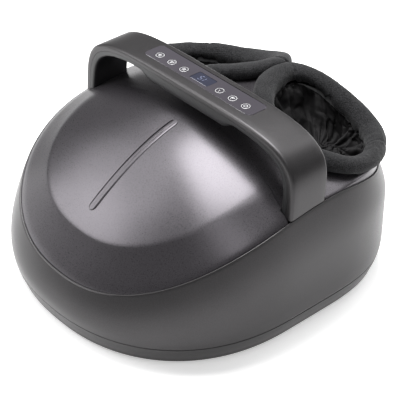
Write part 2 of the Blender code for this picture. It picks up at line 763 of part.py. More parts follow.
def base_tray():
    y = SEAM[:, 1]
    bottom, floor = TRAY_BOTTOM_Z, TRAY_BOTTOM_Z + TRAY_FLOOR_THICK
    seat = SHELL_FOOT_Z - SEAM_GAP
    upstand = SHELL_FOOT_Z + TRAY_UPSTAND
    inner = wall_offset(SHELL_FOOT_Z, y) - SHELL_WALL - SEAM_GAP
    rings = [
        seam_ring(wall_offset(bottom, y) - TRAY_EDGE_ROUND, bottom),
        seam_ring(wall_offset(bottom + TRAY_EDGE_ROUND, y), bottom + TRAY_EDGE_ROUND),
        seam_ring(wall_offset(seat, y), seat),
        seam_ring(inner, seat),
        seam_ring(inner, upstand),
        seam_ring(inner - TRAY_RIM_WIDTH, upstand),
        seam_ring(inner - TRAY_RIM_WIDTH, floor),
    ]
    tray = add("base_tray", stack(rings), SHELL_LOOK)
    bosses, holes = [], []
    for x, y, low, high in base_lugs():
        top = low - SCREW_GAP
        bosses.append(turned([(BOSS_R, floor - OVERRUN / 2), (BOSS_R, top)], x, y, 10))
        shaft = SCREW_R + SCREW_GAP
        head = SCREW_HEAD_R + SCREW_GAP
        seat = screw_seat_z()
        profile = [(head, bottom - OVERRUN), (head, seat), (shaft, seat), (shaft, top + OVERRUN)]
        holes.append(turned(profile, x, y, 8))
    for x, y in main_board_posts():
        r, top = MAIN_BOARD_POST_R, floor + MAIN_BOARD_POST
        bosses.append(turned([(r, floor - OVERRUN / 2), (r, top)], x, y, 6))
    combine(tray, bosses, "UNION")
    combine(tray, holes, "DIFFERENCE")


def screw_seat_z():
    return TRAY_BOTTOM_Z + TRAY_FLOOR_THICK + SCREW_HEAD_THICK


def base_screws():
    names = ("right_front", "left_front", "right_rear", "left_rear")
    for name, (x, y, low, high) in zip(names, base_lugs()):
        seat = screw_seat_z() - SEAM_GAP
        head = [(SCREW_HEAD_R, seat - SCREW_HEAD_THICK), (SCREW_HEAD_R, seat)]
        shaft = [(SCREW_R, seat), (SCREW_R, high)]
        add("base_screw_" + name, turned(head + shaft, x, y, 8), STEEL_LOOK)


def rubber_feet():
    for name, side in SIDES:
        for end, y in (("front", FOOT_FRONT_Y), ("rear", FOOT_REAR_Y)):
            top = TRAY_BOTTOM_Z - FOOT_SEAT_GAP
            profile = [(FOOT_R - top / 2, 0), (FOOT_R, top / 2), (FOOT_R, top)]
            add(f"rubber_foot_{name}_{end}", turned(profile, side * FOOT_X, y, 14), RUBBER_LOOK)


def front_cover():
    inset = LIP_WIDTH + SEAM_GAP
    rim = seam_part(-inset, COVER_REAR_Y - COVER_REAR_BOW, front=True)
    middle = np.array([0, COVER_REAR_Y, COVER_TOP_Z])
    toe = toe_share_at(rim[:, 2])
    width = np.abs(rim[:, 0]).max()
    top = []
    for s in COVER_RING_SHARES:
        x = rim[:, 0] * s
        y = COVER_REAR_Y + (rim[:, 1] - COVER_REAR_Y) * s
        y = y + COVER_REAR_BOW * (s - s * s) * (np.abs(rim[:, 0]) / width) ** COVER_BOW_POWER
        z = COVER_TOP_Z - (COVER_TOP_Z - seam_z(rim[:, 2])) * cover_fall(s, toe)
        top.append(np.column_stack([x, y, z]))
    low_rim = np.column_stack([rim[:, 0], rim[:, 1], seam_z(rim[:, 2]) - LEDGE_DROP + SEAM_GAP])
    shape = sheet_solid(middle, np.array(top), low_rim, COVER_WALL, round_whole=False)
    cover = add("front_cover", shape, COVER_LOOK, sharp=math.radians(28))
    cuts = handle_notches(HANDLE_FRONT_Y - SEAM_GAP)
    combine(cover, [strip_body(SEAM_GAP, STRIP_DEPTH, OVERRUN)] + cuts, "DIFFERENCE")


def strip_body(margin, depth, above):
    """The inlaid strip's body along the middle of the cover, round at its ends in plan."""
    half = STRIP_WIDTH / 2 + margin
    toe, rear = STRIP_TOE_Y - margin, STRIP_REAR_Y + margin
    ends = [half * share for share in STRIP_END_SHARES]
    stops = [(toe + run, run) for run in ends]
    stops += [(y, half) for y in np.linspace(toe + half, rear - half, 9)[1:-1]]
    stops += [(rear - run, run) for run in ends[::-1]]
    rings = []
    for y, run in stops:
        wide = math.sqrt(half**2 - (half - run) ** 2)
        z = float(cover_z(0, y))
        rings.append(strip_section(wide, y, z - depth, z + above))
    return stack(rings)


def strip_section(half, y, low, high):
    return np.array([(-half, y, low), (half, y, low), (half, y, high), (-half, y, high)])


def cover_strip():
    rest = STRIP_DEPTH - STRIP_THICK - SEAM_GAP
    add("cover_strip", strip_body(0, STRIP_DEPTH - SEAM_GAP, -rest), COVER_LOOK)


def rear_deck():
    inset = LIP_WIDTH + SEAM_GAP
    front_y = COVER_REAR_Y + DECK_GAP
    rim = seam_part(-inset, front_y - COVER_REAR_BOW, front=False)
    width = abs(rim[0, 0])
    shares = np.linspace(-1, 1, 13)[1:-1]
    edge = [(width * k, front_y - COVER_REAR_BOW * k * k, front_y) for k in shares]
    plan = np.array(list(rim) + edge)
    is_rim = np.array([True] * len(rim) + [False] * len(edge))
    middle = np.array([0, DECK_CENTRE_Y, DECK_RIDGE_Z])
    top = []
    for s in DECK_RING_SHARES:
        x = plan[:, 0] * s
        y = DECK_CENTRE_Y + (plan[:, 1] - DECK_CENTRE_Y) * s
        z = deck_z(x, y)
        top.append(np.column_stack([x, y, z]))
    low = np.where(is_rim, seam_z(plan[:, 2]) - LEDGE_DROP + SEAM_GAP, top[-1][:, 2] - DECK_WALL)
    low_rim = np.column_stack([plan[:, 0], plan[:, 1], low])
    deck = add("rear_deck", sheet_solid(middle, np.array(top), low_rim, DECK_WALL, True), COVER_LOOK)
    hole = cuff_path(HOLE_INSET, CUFF_STEPS)
    holes = [prism(hole * (side, 1), SEAM_TOE_Z, HANDLE_TOP_Z) for name, side in SIDES]
    combine(deck, holes + handle_notches(HANDLE_FRONT_Y - OVERRUN), "DIFFERENCE")


def handle_notches(front_y):
    """The places at both sides that the handle's feet take from the cover and the deck."""
    inner = SEAM_HALF_WIDTH - HANDLE_SIDE_THICK - SEAM_GAP
    back_y = HANDLE_BACK_Y + HANDLE_BACK_GAP
    made = []
    for name, side in SIDES:
        xs = sorted((side * inner, side * (SEAM_HALF_WIDTH + OVERRUN)))
        made.append(box((xs[0], front_y, SEAM_TOE_Z), (xs[1], back_y, HANDLE_TOP_Z)))
    return made


def cuff_path(inset, steps):
    """Plan of the right cuff's centre line, moved inwards."""
    turn = np.arange(steps) * 2 * math.pi / steps
    along = (CUFF_LENGTH_HALF - inset) * bent(np.cos(turn), CUFF_POWER)
    across = (CUFF_WIDTH_HALF - inset) * bent(np.sin(turn), CUFF_POWER)
    c, s = math.cos(CUFF_TURN), math.sin(CUFF_TURN)
    return np.column_stack([CUFF_X + along * c - across * s, CUFF_Y + along * s + across * c])


def cuff(name, side):
    path = cuff_path(0, CUFF_STEPS)
    ahead = np.roll(path, -1, axis=0) - np.roll(path, 1, axis=0)
    out = np.column_stack([ahead[:, 1], -ahead[:, 0]])
    out /= np.linalg.norm(out, axis=1)[:, None]
    base = deck_z(path[:, 0], path[:, 1])
    turn = np.arange(CUFF_STEPS) * 2 * math.pi / CUFF_STEPS
    crown = CUFF_PAD_R * (1 + CUFF_SWELL_SHARE * np.cos(3 * turn + 1))
    for seam_at in CUFF_SEAM_STEPS:
        crown[seam_at] -= CUFF_SEAM_PINCH
    rings = []
    for k in range(PAD_STEPS):
        angle = 2 * math.pi * k / PAD_STEPS + math.pi / PAD_STEPS
        reach = crown * math.cos(angle)
        x = path[:, 0] + out[:, 0] * reach
        y = path[:, 1] + out[:, 1] * reach
        x = np.maximum(x, CUFF_MIDDLE_GAP * (1.5 + 0.5 * math.cos(angle)))
        z = base + CUFF_LIFT + crown * math.sin(angle)
        on_deck = path + out * np.maximum(reach, -HOLE_INSET - 2 * CUFF_SEAT_GAP)[:, None]
        seat = CUFF_SEAT_GAP * steepness(deck_z, on_deck[:, 0], on_deck[:, 1])
        z = np.maximum(z, deck_z(on_deck[:, 0], on_deck[:, 1]) + seat)
        rings.append(np.column_stack([side * x, y, z]))
    add("cuff_" + name, stack(rings, loop=True), CUFF_LOOK, sharp=math.radians(80))


# Foot wells and linings.


def well_plan(inset, rim_share, steps=OUTLINE_STEPS):
    """Plan of a well round its fan point: the tub, opened out towards the deck's hole."""
    turn = np.arange(720) * 2 * math.pi / 720
    tub = np.column_stack(
        [
            WELL_HALF_WIDTH * bent(np.cos(turn), WELL_POWER),
            WELL_Y - WELL_FAN_Y + WELL_HALF_LENGTH * bent(np.sin(turn), WELL_POWER),
        ]
    )
    hole = cuff_path(WELL_RIM_INSET, 720) - (WELL_X, WELL_FAN_Y)
    turn = np.arange(steps) * 2 * math.pi / steps
    wanted = np.arctan2(
        WELL_Y - WELL_FAN_Y + WELL_HALF_LENGTH * bent(np.sin(turn), WELL_POWER),
        WELL_HALF_WIDTH * bent(np.cos(turn), WELL_POWER),
    )
    reach = []
    for shape in (tub, hole):
        at = np.arctan2(shape[:, 1], shape[:, 0])
        order = np.argsort(at)
        reach.append(
            np.interp(wanted, at[order], np.hypot(*shape.T)[order], period=2 * math.pi)
        )
    wide = np.maximum(reach[0], reach[1])
    r = reach[0] + (wide - reach[0]) * rim_share - inset
    return np.column_stack([WELL_X + r * np.cos(wanted), WELL_FAN_Y + r * np.sin(wanted)])


def steepness(height, x, y):
    """How much thicker a sheet is straight down than square to its surface."""
    step = WELL_TOP_GAP
    rise_x = (height(x + step, y) - height(x - step, y)) / (2 * step)
    rise_y = (height(x, y + step) - height(x, y - step)) / (2 * step)
    return np.minimum(np.sqrt(1 + rise_x**2 + rise_y**2), STEEPEST)


def roof_z(x, y):
    """Underside of the cover or the deck, kept clear by the well's gap."""
    cover = cover_z(x, y) - COVER_WALL * steepness(cover_z, x, y)
    deck = deck_z(x, y) - DECK_WALL * steepness(deck_z, x, y)
    line = COVER_REAR_Y - COVER_REAR_BOW * (x / SEAM_HALF_WIDTH) ** 2
    near = np.abs(y - line) < OVERRUN
    z = np.where(y < line, cover, deck)
    return np.where(near, np.minimum(cover, deck), z) - WELL_TOP_GAP


def well_limit(points, inset):
    """Draws points in so that they stay inside the right well's wall."""
    edge = well_plan(0, 1, 180)
    high = roof_z(edge[:, 0], edge[:, 1])
    tub = np.hypot(*(well_plan(0, 0, 180) - (WELL_X, WELL_FAN_Y)).T)
    out = edge - (WELL_X, WELL_FAN_Y)
    rim = np.hypot(*out.T)
    turn = np.arctan2(out[:, 1], out[:, 0])
    way = points[:, :2] - (WELL_X, WELL_FAN_Y)
    at = np.arctan2(way[:, 1], way[:, 0])
    top = np.interp(at, turn, high, period=2 * math.pi)
    floor = WELL_FLOOR_Z + WELL_WALL
    share = np.clip((points[:, 2] - floor) / (top - floor), 0, 1)
    open_share = np.interp(share, *np.transpose(WELL_LEVEL_SHARES))
    low = np.interp(at, turn, tub, period=2 * math.pi)
    wide = np.interp(at, turn, rim, period=2 * math.pi)
    most = low + (wide - low) * open_share - WELL_WALL - LINING_WELL_GAP - inset
    r = np.hypot(*way.T)
    drawn = points.copy()
    drawn[:, :2] = (WELL_X, WELL_FAN_Y) + way * np.minimum(1, most / r)[:, None]
    return drawn


def foot_well(name, side):
    steps = 32
    floor = WELL_FLOOR_Z + WELL_WALL
    levels = WELL_LEVEL_SHARES
    rings = []
    for inset, order in ((0, levels), (WELL_WALL, levels[::-1])):
        for share, rim in order:
            plan = well_plan(inset, rim, steps)
            plan[:, 0] = np.maximum(plan[:, 0], WELL_MIDDLE_GAP + inset)
            edge = well_plan(0, 1, steps)
            high = roof_z(edge[:, 0], edge[:, 1])
            low = floor if inset else WELL_FLOOR_Z
            if share == 0 and rim == 0:
                plan = well_plan(inset + WELL_WALL, rim, steps)
            rings.append(plan_ring(plan * (side, 1), low + (high - low) * share))
    well = add("foot_well_" + name, stack(rings), GREY_LOOK)
    windows = []
    for y in disc_places():
        window = circle(side * WELL_X, y, DISC_R + DISC_WINDOW_GAP, 20)
        windows.append(prism(window, WELL_FLOOR_Z - OVERRUN, floor + OVERRUN))
    legs = []
    bottom = TRAY_BOTTOM_Z + TRAY_FLOOR_THICK + REST_GAP
    top = WELL_FLOOR_Z + WELL_WALL / 2
    for x, y in well_legs():
        legs.append(turned([(WELL_LEG_R, bottom), (WELL_LEG_R, top)], side * x, y, 6))
    combine(well, legs, "UNION")
    combine(well, windows, "DIFFERENCE")


def well_legs():
    reach_x = WELL_HALF_WIDTH - 3 * WELL_LEG_R
    front = WELL_Y - WELL_HALF_LENGTH * WELL_LEG_FRONT_SHARE
    rear = WELL_Y + WELL_HALF_LENGTH * WELL_LEG_REAR_SHARE
    return [(WELL_X + way * reach_x, y) for y in (front, rear) for way in (-1, 1)]


def lining(name, side):
    turn = np.arange(LINING_STEPS) * 2 * math.pi / LINING_STEPS
    fold = (1 - np.cos(LINING_FOLDS * turn)) / 2
    skins = []
    for inset in (0, LINING_CLOTH):
        rings = []
        mouth = lining_mouth(inset, side)
        rings.append(mouth)
        sections = []
        for (fy, fz), (by, bz), wide in SOCK_LENGTH_SHARES:
            front = np.array([WELL_Y + WELL_HALF_LENGTH * fy, LINING_SOLE_Z + SOCK_HEIGHT * fz])
            back = np.array([WELL_Y + WELL_HALF_LENGTH * by, LINING_SOLE_Z + SOCK_HEIGHT * bz])
            centre, half = (front + back) / 2, (back - front) / 2
            length = np.hypot(*half)
            sections.append((centre, half / length, length - inset, WELL_HALF_WIDTH * wide - inset))
        for k, (centre, way, length, width) in enumerate(sections):
            pleat = LINING_FOLD * fold * LINING_PLEAT_SHARES[k]
            up = (length - pleat) * bent(np.sin(turn), SOCK_POWER)
            wide = (width - pleat) * bent(np.cos(turn), SOCK_POWER)
            y = centre[0] + way[0] * up
            z = centre[1] + way[1] * up
            ring = well_limit(np.column_stack([WELL_X + wide, y, z]), inset)
            rings.append(ring * (side, 1, 1))
        between = rings[0] * LINING_THROAT_SHARE + rings[1] * (1 - LINING_THROAT_SHARE)
        middle = between.mean(axis=0)
        pull = (fold * LINING_FOLD * LINING_GATHER_SHARE)[:, None]
        way = middle - between
        way[:, 2] = 0
        way /= np.linalg.norm(way, axis=1)[:, None]
        rings.insert(1, between + way * pull)
        tip = rings[-1]
        close = tip.mean(axis=0) + (tip - tip.mean(axis=0)) * SOCK_TIP_SHARE
        close[:, 1] -= SOCK_HEIGHT * SOCK_TIP_DEPTH_SHARE - inset
        rings.append(close)
        skins.append(rings)
    outer, inner = skins
    skin = stack(outer[::-1] + inner, flat_ends=False)
    add("lining_" + name, skin, LINING_LOOK, sharp=math.radians(80))


def lining_mouth(inset, side):
    """The lining's edge, just inside the cuff's padding."""
    hold = CUFF_PAD_R * (1 + CUFF_SWELL_SHARE) + LINING_CUFF_GAP
    dense = cuff_path(hold + inset, 720) - (CUFF_X, CUFF_Y)
    at = np.arctan2(dense[:, 1], dense[:, 0])
    order = np.argsort(at)
    turn = np.arange(LINING_STEPS) * 2 * math.pi / LINING_STEPS
    r = np.interp(turn, at[order], np.hypot(*dense.T)[order], period=2 * math.pi)
    x = CUFF_X + r * np.cos(turn)
    y = CUFF_Y + r * np.sin(turn)
    line = cuff_path(0, 720)
    near = np.argmin(np.hypot(line[:, 0] - x[:, None], line[:, 1] - y[:, None]), axis=1)
    z = deck_z(line[near, 0], line[near, 1]) + CUFF_LIFT
    return np.column_stack([side * x, y, z])


# Handle with its panel and keys.


def arch(turn, half_width, top_z, depth_share, pod=0.0):
    """Points (x, y, z) of the handle at one turn along its arch."""
    x = half_width * bent(np.cos(turn), HANDLE_POWER)
    y = HANDLE_FRONT_Y + HANDLE_DEPTH * depth_share
    foot = seam_z(y) + HANDLE_SEAT_GAP
    rise = np.abs(np.sin(turn)) ** (2 / HANDLE_POWER)
    z = foot + (top_z - foot) * rise
    if pod:
        reach = np.clip((POD_HALF_LENGTH + POD_BLEND - abs(x)) / POD_BLEND, 0, 1)
        z -= pod * reach * reach * (3 - 2 * reach)
    return np.array([x, y + HANDLE_LEAN * rise, z])


def arch_turns():
    leg = np.array(LEG_TURN_SHARES)
    top = np.arccos(np.array(TOP_WIDTH_SHARES) ** (HANDLE_POWER / 2))
    half = np.concatenate([leg, top])
    return np.concatenate([half, [math.pi / 2], (math.pi - half)[::-1]])


def handle_band(outer, inner, round_outer, pod):
    """A band along the arch between two (half width, top height) curves."""
    across = HANDLE_ROUND / HANDLE_DEPTH
    rings = []
    for turn in arch_turns():
        def at(curve, share, dip=0.0):
            return arch(turn, curve[0], curve[1], share, dip)

        low_curve = inner if round_outer else outer
        high_curve = outer if round_outer else inner
        dip = 0.0 if round_outer else pod
        cut = (
            high_curve[0] + (low_curve[0] - high_curve[0]) * HANDLE_EDGE_SHARE,
            high_curve[1] + (low_curve[1] - high_curve[1]) * HANDLE_EDGE_SHARE,
        )
        rings.append(
            np.array(
                [
                    at(low_curve, 0),
                    at(cut, 0, dip * POD_EDGE_SHARE),
                    at(high_curve, across, dip),
                    at(high_curve, 1 - across, dip),
                    at(cut, 1, dip * POD_EDGE_SHARE),
                    at(low_curve, 1),
                ]
            )
        )
    return stack(rings)


def handle_curves():
    outer = (SEAM_HALF_WIDTH, HANDLE_TOP_Z)
    split_out = (SEAM_HALF_WIDTH - HANDLE_SKIN_SIDE, HANDLE_TOP_Z - HANDLE_SKIN_TOP)
    split_in = (split_out[0] - HANDLE_SPLIT_GAP, split_out[1] - HANDLE_SPLIT_GAP)
    inner = (SEAM_HALF_WIDTH - HANDLE_SIDE_THICK, HANDLE_TOP_Z - HANDLE_TOP_THICK)
    return outer, split_out, split_in, inner


def panel_y():
    return PANEL_FRONT_Y + PANEL_WIDTH / 2


def handle_upper():
    outer, split_out, split_in, inner = handle_curves()
    upper = add("handle_upper", handle_band(outer, split_out, True, 0), SHELL_LOOK)
    seat = PANEL_TOP_Z - PANEL_THICK - PANEL_GAP
    room = 2 * PANEL_GAP
    pocket = rounded(
        0, panel_y(), PANEL_LENGTH + room, PANEL_WIDTH + room, PANEL_CORNER_R + PANEL_GAP
    )
    window = rounded(0, panel_y(), *pod_size(), PANEL_CORNER_R / 2)
    combine(upper, [prism(pocket, seat, HANDLE_TOP_Z + OVERRUN)], "DIFFERENCE")
    combine(upper, [prism(window, split_in[1] - OVERRUN, seat + OVERRUN)], "DIFFERENCE")


def pod_size():
    return PANEL_LENGTH - 2 * PANEL_LEDGE, PANEL_WIDTH - 2 * PANEL_LEDGE


def pod_floor_z():
    return HANDLE_TOP_Z - HANDLE_TOP_THICK - POD_DROP + POD_WALL


def handle_lower():
    outer, split_out, split_in, inner = handle_curves()
    lower = add("handle_lower", handle_band(split_in, inner, False, POD_DROP), BLACK_LOOK)
    length, width = pod_size()
    deep = 2 * POD_HALF_LENGTH
    cut = rounded(0, panel_y(), deep, width, PANEL_CORNER_R / 2)
    ends = rounded(0, panel_y(), length, width, PANEL_CORNER_R / 2)
    tongues, holes = [], []
    near, far = tongue_x()
    for side in (1, -1):
        xs = sorted((side * near, side * far))
        y = tongue_y()
        top = SEAM_PEAK_Z + OVERRUN
        half = TONGUE_HALF_WIDTH
        tongues.append(box((xs[0], y - half, TONGUE_BOTTOM_Z), (xs[1], y + half, top)))
        reach = sorted((side * (near - OVERRUN), side * (far + OVERRUN)))
        low, high = handle_lug_z()
        profile = [(SCREW_R + SCREW_GAP, end) for end in reach]
        holes.append(turned_along_x(profile, y, (low + high) / 2, 12))
    combine(lower, tongues, "UNION")
    combine(lower, holes, "DIFFERENCE")
    combine(lower, [prism(cut, pod_floor_z(), HANDLE_TOP_Z)], "DIFFERENCE")
    combine(lower, [prism(ends, inner_floor_z(), HANDLE_TOP_Z)], "DIFFERENCE")


def inner_floor_z():
    return HANDLE_TOP_Z - HANDLE_TOP_THICK + POD_WALL


def tongue_x():
    near = SEAM_HALF_WIDTH - TONGUE_INSET - TONGUE_THICK
    return near, near + TONGUE_THICK


def tongue_y():
    return HANDLE_FRONT_Y + HANDLE_DEPTH / 2


def tongue_half_lug():
    return TONGUE_HALF_WIDTH / 2


def handle_lug_z():
    return TONGUE_BOTTOM_Z, TONGUE_BOTTOM_Z + 2 * tongue_half_lug()


def handle_screw_bite():
    return TONGUE_THICK


def handle_screws():
    near, far = tongue_x()
    low, high = handle_lug_z()
    for name, side in SIDES:
        seat = near - SEAM_GAP
        tip = far + REST_GAP + handle_screw_bite()
        head = [(SCREW_HEAD_R, seat - SCREW_HEAD_THICK), (SCREW_HEAD_R, seat)]
        profile = [(r, side * x) for r, x in head + [(SCREW_R, seat), (SCREW_R, tip)]]
        screw = turned_along_x(profile, tongue_y(), (low + high) / 2, 12)
        add("handle_screw_" + name, screw, STEEL_LOOK)


def control_panel():
    bottom = PANEL_TOP_Z - PANEL_THICK
    plan = rounded(0, panel_y(), PANEL_LENGTH, PANEL_WIDTH, PANEL_CORNER_R)
    panel = add("control_panel", prism(plan, bottom, PANEL_TOP_Z), GLOSS_LOOK)
    room = 2 * PANEL_GAP
    length, width = DISPLAY_LENGTH + room, DISPLAY_WIDTH + room
    plans = [rounded(0, DISPLAY_Y, length, width, DISPLAY_CORNER_R + PANEL_GAP, 2)]
    for name, x in key_places():
        plans.append(circle(x, KEY_Y, KEY_R + KEY_CLEARANCE, 12))
    holes = [prism(plan, bottom - OVERRUN, PANEL_TOP_Z + OVERRUN) for plan in plans]
    combine(panel, holes, "DIFFERENCE")


def display_window():
    plan = rounded(0, DISPLAY_Y, DISPLAY_LENGTH, DISPLAY_WIDTH, DISPLAY_CORNER_R, 2)
    window = prism(plan, PANEL_TOP_Z - PANEL_THICK, PANEL_TOP_Z - KEY_PROUD)
    add("display_window", window, DISPLAY_LOOK)


def key_places():
    inner, middle, outer = KEY_SPACINGS
    names = ("air", "mode", "heat", "timer", "level", "power")
    return list(zip(names, (-outer, -middle, -inner, inner, middle, outer)))


def keys():
    panel_bottom = PANEL_TOP_Z - PANEL_THICK
    flange_top = panel_bottom - KEY_RETAIN
    flange_low = flange_top - KEY_FLANGE_THICK
    stem_low = control_board_top() + KEY_STEM_GAP
    for name, x in key_places():
        profile = [
            (KEY_STEM_R, stem_low),
            (KEY_STEM_R, flange_low),
            (KEY_R + KEY_FLANGE, flange_low),
            (KEY_R + KEY_FLANGE, flange_top),
            (KEY_R, flange_top),
            (KEY_R, PANEL_TOP_Z + KEY_PROUD),
        ]
        at = (x, KEY_Y, PANEL_TOP_Z)
        add("key_" + name, turned(profile, x, KEY_Y, 12), GLOSS_LOOK, at)


def control_board_top():
    return inner_floor_z() + BOARD_GAP + BOARD_THICK


def control_board():
    length, width = pod_size()
    margin = 4 * BOARD_GAP
    low = inner_floor_z() + BOARD_GAP
    plan = rounded(0, panel_y(), length - margin, width - margin, PANEL_CORNER_R / 3, 2)
    board = add("control_board", prism(plan, low, low + BOARD_THICK), BOARD_LOOK)
    chip = centred_box(
        0, panel_y(), POD_HALF_LENGTH, width / 2, pod_floor_z() + POD_WALL, low + BOARD_THICK / 2
    )
    combine(board, [chip], "UNION")


# Kneading drive.


def gear_plan(x, y, teeth, module, first_turn, tip=GEAR_TIP_SHARE, root=GEAR_ROOT_SHARE):
    """Plan of a gear: straight-sided teeth with play at the pitch circle."""
    pitch_r = teeth * module / 2
    step = 2 * math.pi / teeth
    points = []
    for k in range(teeth):
        middle = first_turn + k * step
        for r, share in (
            (pitch_r - root * module, -0.29),
            (pitch_r + tip * module, -0.11),
            (pitch_r + tip * module, 0.11),
            (pitch_r - root * module, 0.29),
        ):
            turn = middle + share * step
            points.append((x + r * math.cos(turn), y + r * math.sin(turn)))
    return np.array(points)


def disc_places():
    return DRIVE_Y - GEAR_DISTANCE, DRIVE_Y + GEAR_DISTANCE


def floor_top():
    return TRAY_BOTTOM_Z + TRAY_FLOOR_THICK


def worm_offset():
    return WHEEL_TEETH * WORM_MODULE / 2 + WORM_PITCH_R


def wheel_low():
    return WORM_Z - WHEEL_THICK / 2


def gear_tray(name, side):
    low = floor_top() + REST_GAP
    top = low + PLATE_THICK
    x = side * WELL_X
    plan = rounded(x, DRIVE_Y, 2 * PLATE_HALF_WIDTH, 2 * PLATE_HALF_LENGTH, PLATE_CORNER_R)
    plate = add("gear_tray_" + name, prism(plan, low, top), GREY_LOOK)
    pins = []
    tip = GEAR_Z + GEAR_THICK + DISC_THICK / 2
    for y in disc_places():
        pins.append(spindle(x, y, top, GEAR_Z - REST_GAP, tip))
    pins.append(spindle(x, DRIVE_Y, top, wheel_low() - REST_GAP, GEAR_Z + GEAR_THICK))
    combine(plate, pins, "UNION")


def spindle(x, y, plate_top, collar_top, tip):
    low = plate_top - PLATE_THICK / 2
    collar = [(SPINDLE_COLLAR_R, low), (SPINDLE_COLLAR_R, collar_top)]
    return turned(collar + [(SPINDLE_R, collar_top), (SPINDLE_R, tip)], x, y, 8)


def bore(x, y, low, high):
    r = SPINDLE_R + SPINDLE_CLEARANCE
    round_r = r / math.cos(math.pi / 8)
    return turned([(round_r, low), (round_r, high)], x, y, 8)


def kneading_discs(name, side):
    x = side * WELL_X
    half_tooth = math.pi / GEAR_TEETH
    for end, y in zip(("front", "rear"), disc_places()):
        at = (x, y, GEAR_Z)
        gear_top = GEAR_Z + GEAR_THICK
        plan = gear_plan(x, y, GEAR_TEETH, GEAR_MODULE, half_tooth)
        gear = add(f"disc_gear_{name}_{end}", prism(plan, GEAR_Z, gear_top), WHITE_LOOK, at)
        combine(gear, [bore(x, y, GEAR_Z - OVERRUN, gear_top + OVERRUN)], "DIFFERENCE")
        low = gear_top + REST_GAP
        top = low + DISC_THICK
        boss = [(DISC_BOSS_R, low), (DISC_BOSS_R, low + DISC_THICK / 3)]
        plate = turned(boss + [(DISC_R, low + DISC_THICK / 2), (DISC_R, top)], x, y, 20)
        disc = add(f"kneading_disc_{name}_{end}", plate, WHITE_LOOK, at)
        domes = []
        for k in range(DOMES):
            turn = 2 * math.pi * k / DOMES + math.pi / 2
            dome_x, dome_y = x + DOME_REACH * math.cos(turn), y + DOME_REACH * math.sin(turn)
            domes.append(dome(dome_x, dome_y, top))
        combine(disc, domes, "UNION")
        hole_top = gear_top + DISC_THICK / 2 + REST_GAP + SPINDLE_CLEARANCE
        combine(disc, [bore(x, y, low - OVERRUN, hole_top)], "DIFFERENCE")


def dome(x, y, base):
    profile = [(DOME_R, base - DISC_THICK / 4)]
    for turn in (25, 58):
        rise = math.radians(turn)
        profile.append((DOME_R * math.cos(rise), base + DOME_HEIGHT * math.sin(rise)))
    profile.append((DOME_R * DOME_FLAT_SHARE, base + DOME_HEIGHT))
    return turned(profile, x, y, 7)


def drive_pinion(name, side):
    x, y = side * WELL_X, DRIVE_Y
    low, high = wheel_low(), GEAR_Z + GEAR_THICK
    half_tooth = math.pi / WHEEL_TEETH
    at = (x, y, low)
    wheel = gear_plan(
        x, y, WHEEL_TEETH, WORM_MODULE, half_tooth, WHEEL_TIP_SHARE, WHEEL_ROOT_SHARE
    )
    drive = add("drive_pinion_" + name, prism(wheel, low, low + WHEEL_THICK), WHITE_LOOK, at)
    pinion = gear_plan(x, y, PINION_TEETH, GEAR_MODULE, math.pi / 2)
    neck_r = (PINION_TEETH * GEAR_MODULE / 2 - GEAR_ROOT_SHARE * GEAR_MODULE) * NECK_SHARE
    neck = turned([(neck_r, low + WHEEL_THICK / 2), (neck_r, GEAR_Z + GEAR_THICK / 2)], x, y, 8)
    combine(drive, [neck], "UNION")
    combine(drive, [prism(pinion, GEAR_Z, high)], "UNION")
    combine(drive, [bore(x, y, low - OVERRUN, high + OVERRUN)], "DIFFERENCE")


def motor_worm(name, side):
    """The worm on the motor's shaft: one helical thread cut as a wave on its body."""
    x, y, z = side * (WELL_X + worm_offset()), DRIVE_Y, WORM_Z
    pitch = math.pi * WORM_MODULE
    steps, per_turn = 8, 5
    count = int(round(WORM_LENGTH / pitch * per_turn))
    turn = np.arange(steps) * 2 * math.pi / steps
    shaft = np.full(steps, WORM_SHAFT_R)
    rings = [worm_ring(x, z, shaft, y - WORM_LENGTH / 2 - WORM_SHAFT_R, turn)]
    for k in range(count + 1):
        along = -WORM_LENGTH / 2 + WORM_LENGTH * k / count
        phase = along / pitch - side * (turn - side * 3 * math.pi / 2) / (2 * math.pi)
        wave = np.abs((phase + 0.5) % 1 - 0.5) * 2
        height = np.clip((WORM_THREAD_SHARE - wave) / WORM_FLANK_SHARE, 0, 1)
        r = WORM_PITCH_R + WORM_TOOTH_DEPTH * (height - WORM_ROOT_SHARE)
        rings.append(worm_ring(x, z, r, y + along, turn))
    end = y + WORM_LENGTH / 2
    rings.append(worm_ring(x, z, shaft, end + WORM_SHAFT_R / 2, turn))
    rings.append(worm_ring(x, z, shaft, motor_face() - MOTOR_GAP, turn))
    add("motor_worm_" + name, stack(rings), STEEL_LOOK, (x, y, z), sharp=math.radians(50))


def worm_ring(x, z, r, y, turn):
    return np.column_stack([x + r * np.sin(turn), np.full(len(turn), y), z + r * np.cos(turn)])


def motor_face():
    return DRIVE_Y + WORM_LENGTH / 2 + 2 * MOTOR_COLLAR


def drive_motor(name, side):
    x = side * (WELL_X + worm_offset())
    face = motor_face()
    start = face + MOTOR_COLLAR
    profile = [
        (MOTOR_COLLAR_R, face),
        (MOTOR_COLLAR_R, start),
        (MOTOR_R, start),
        (MOTOR_R, start + MOTOR_LENGTH),
        (MOTOR_COLLAR_R, start + MOTOR_LENGTH),
        (MOTOR_COLLAR_R, start + MOTOR_LENGTH + MOTOR_COLLAR),
    ]
    motor = add("drive_motor_" + name, turned_along_y(profile, x, WORM_Z, 14), STEEL_LOOK)
    saddle_low = floor_top() + 2 * REST_GAP + PLATE_THICK
    saddle = centred_box(
        x,
        start + MOTOR_LENGTH / 2,
        MOTOR_R,
        MOTOR_LENGTH / 2,
        saddle_low,
        WORM_Z - MOTOR_R / 2,
    )
    combine(motor, [saddle], "UNION")


# Air system, heaters and electronics.


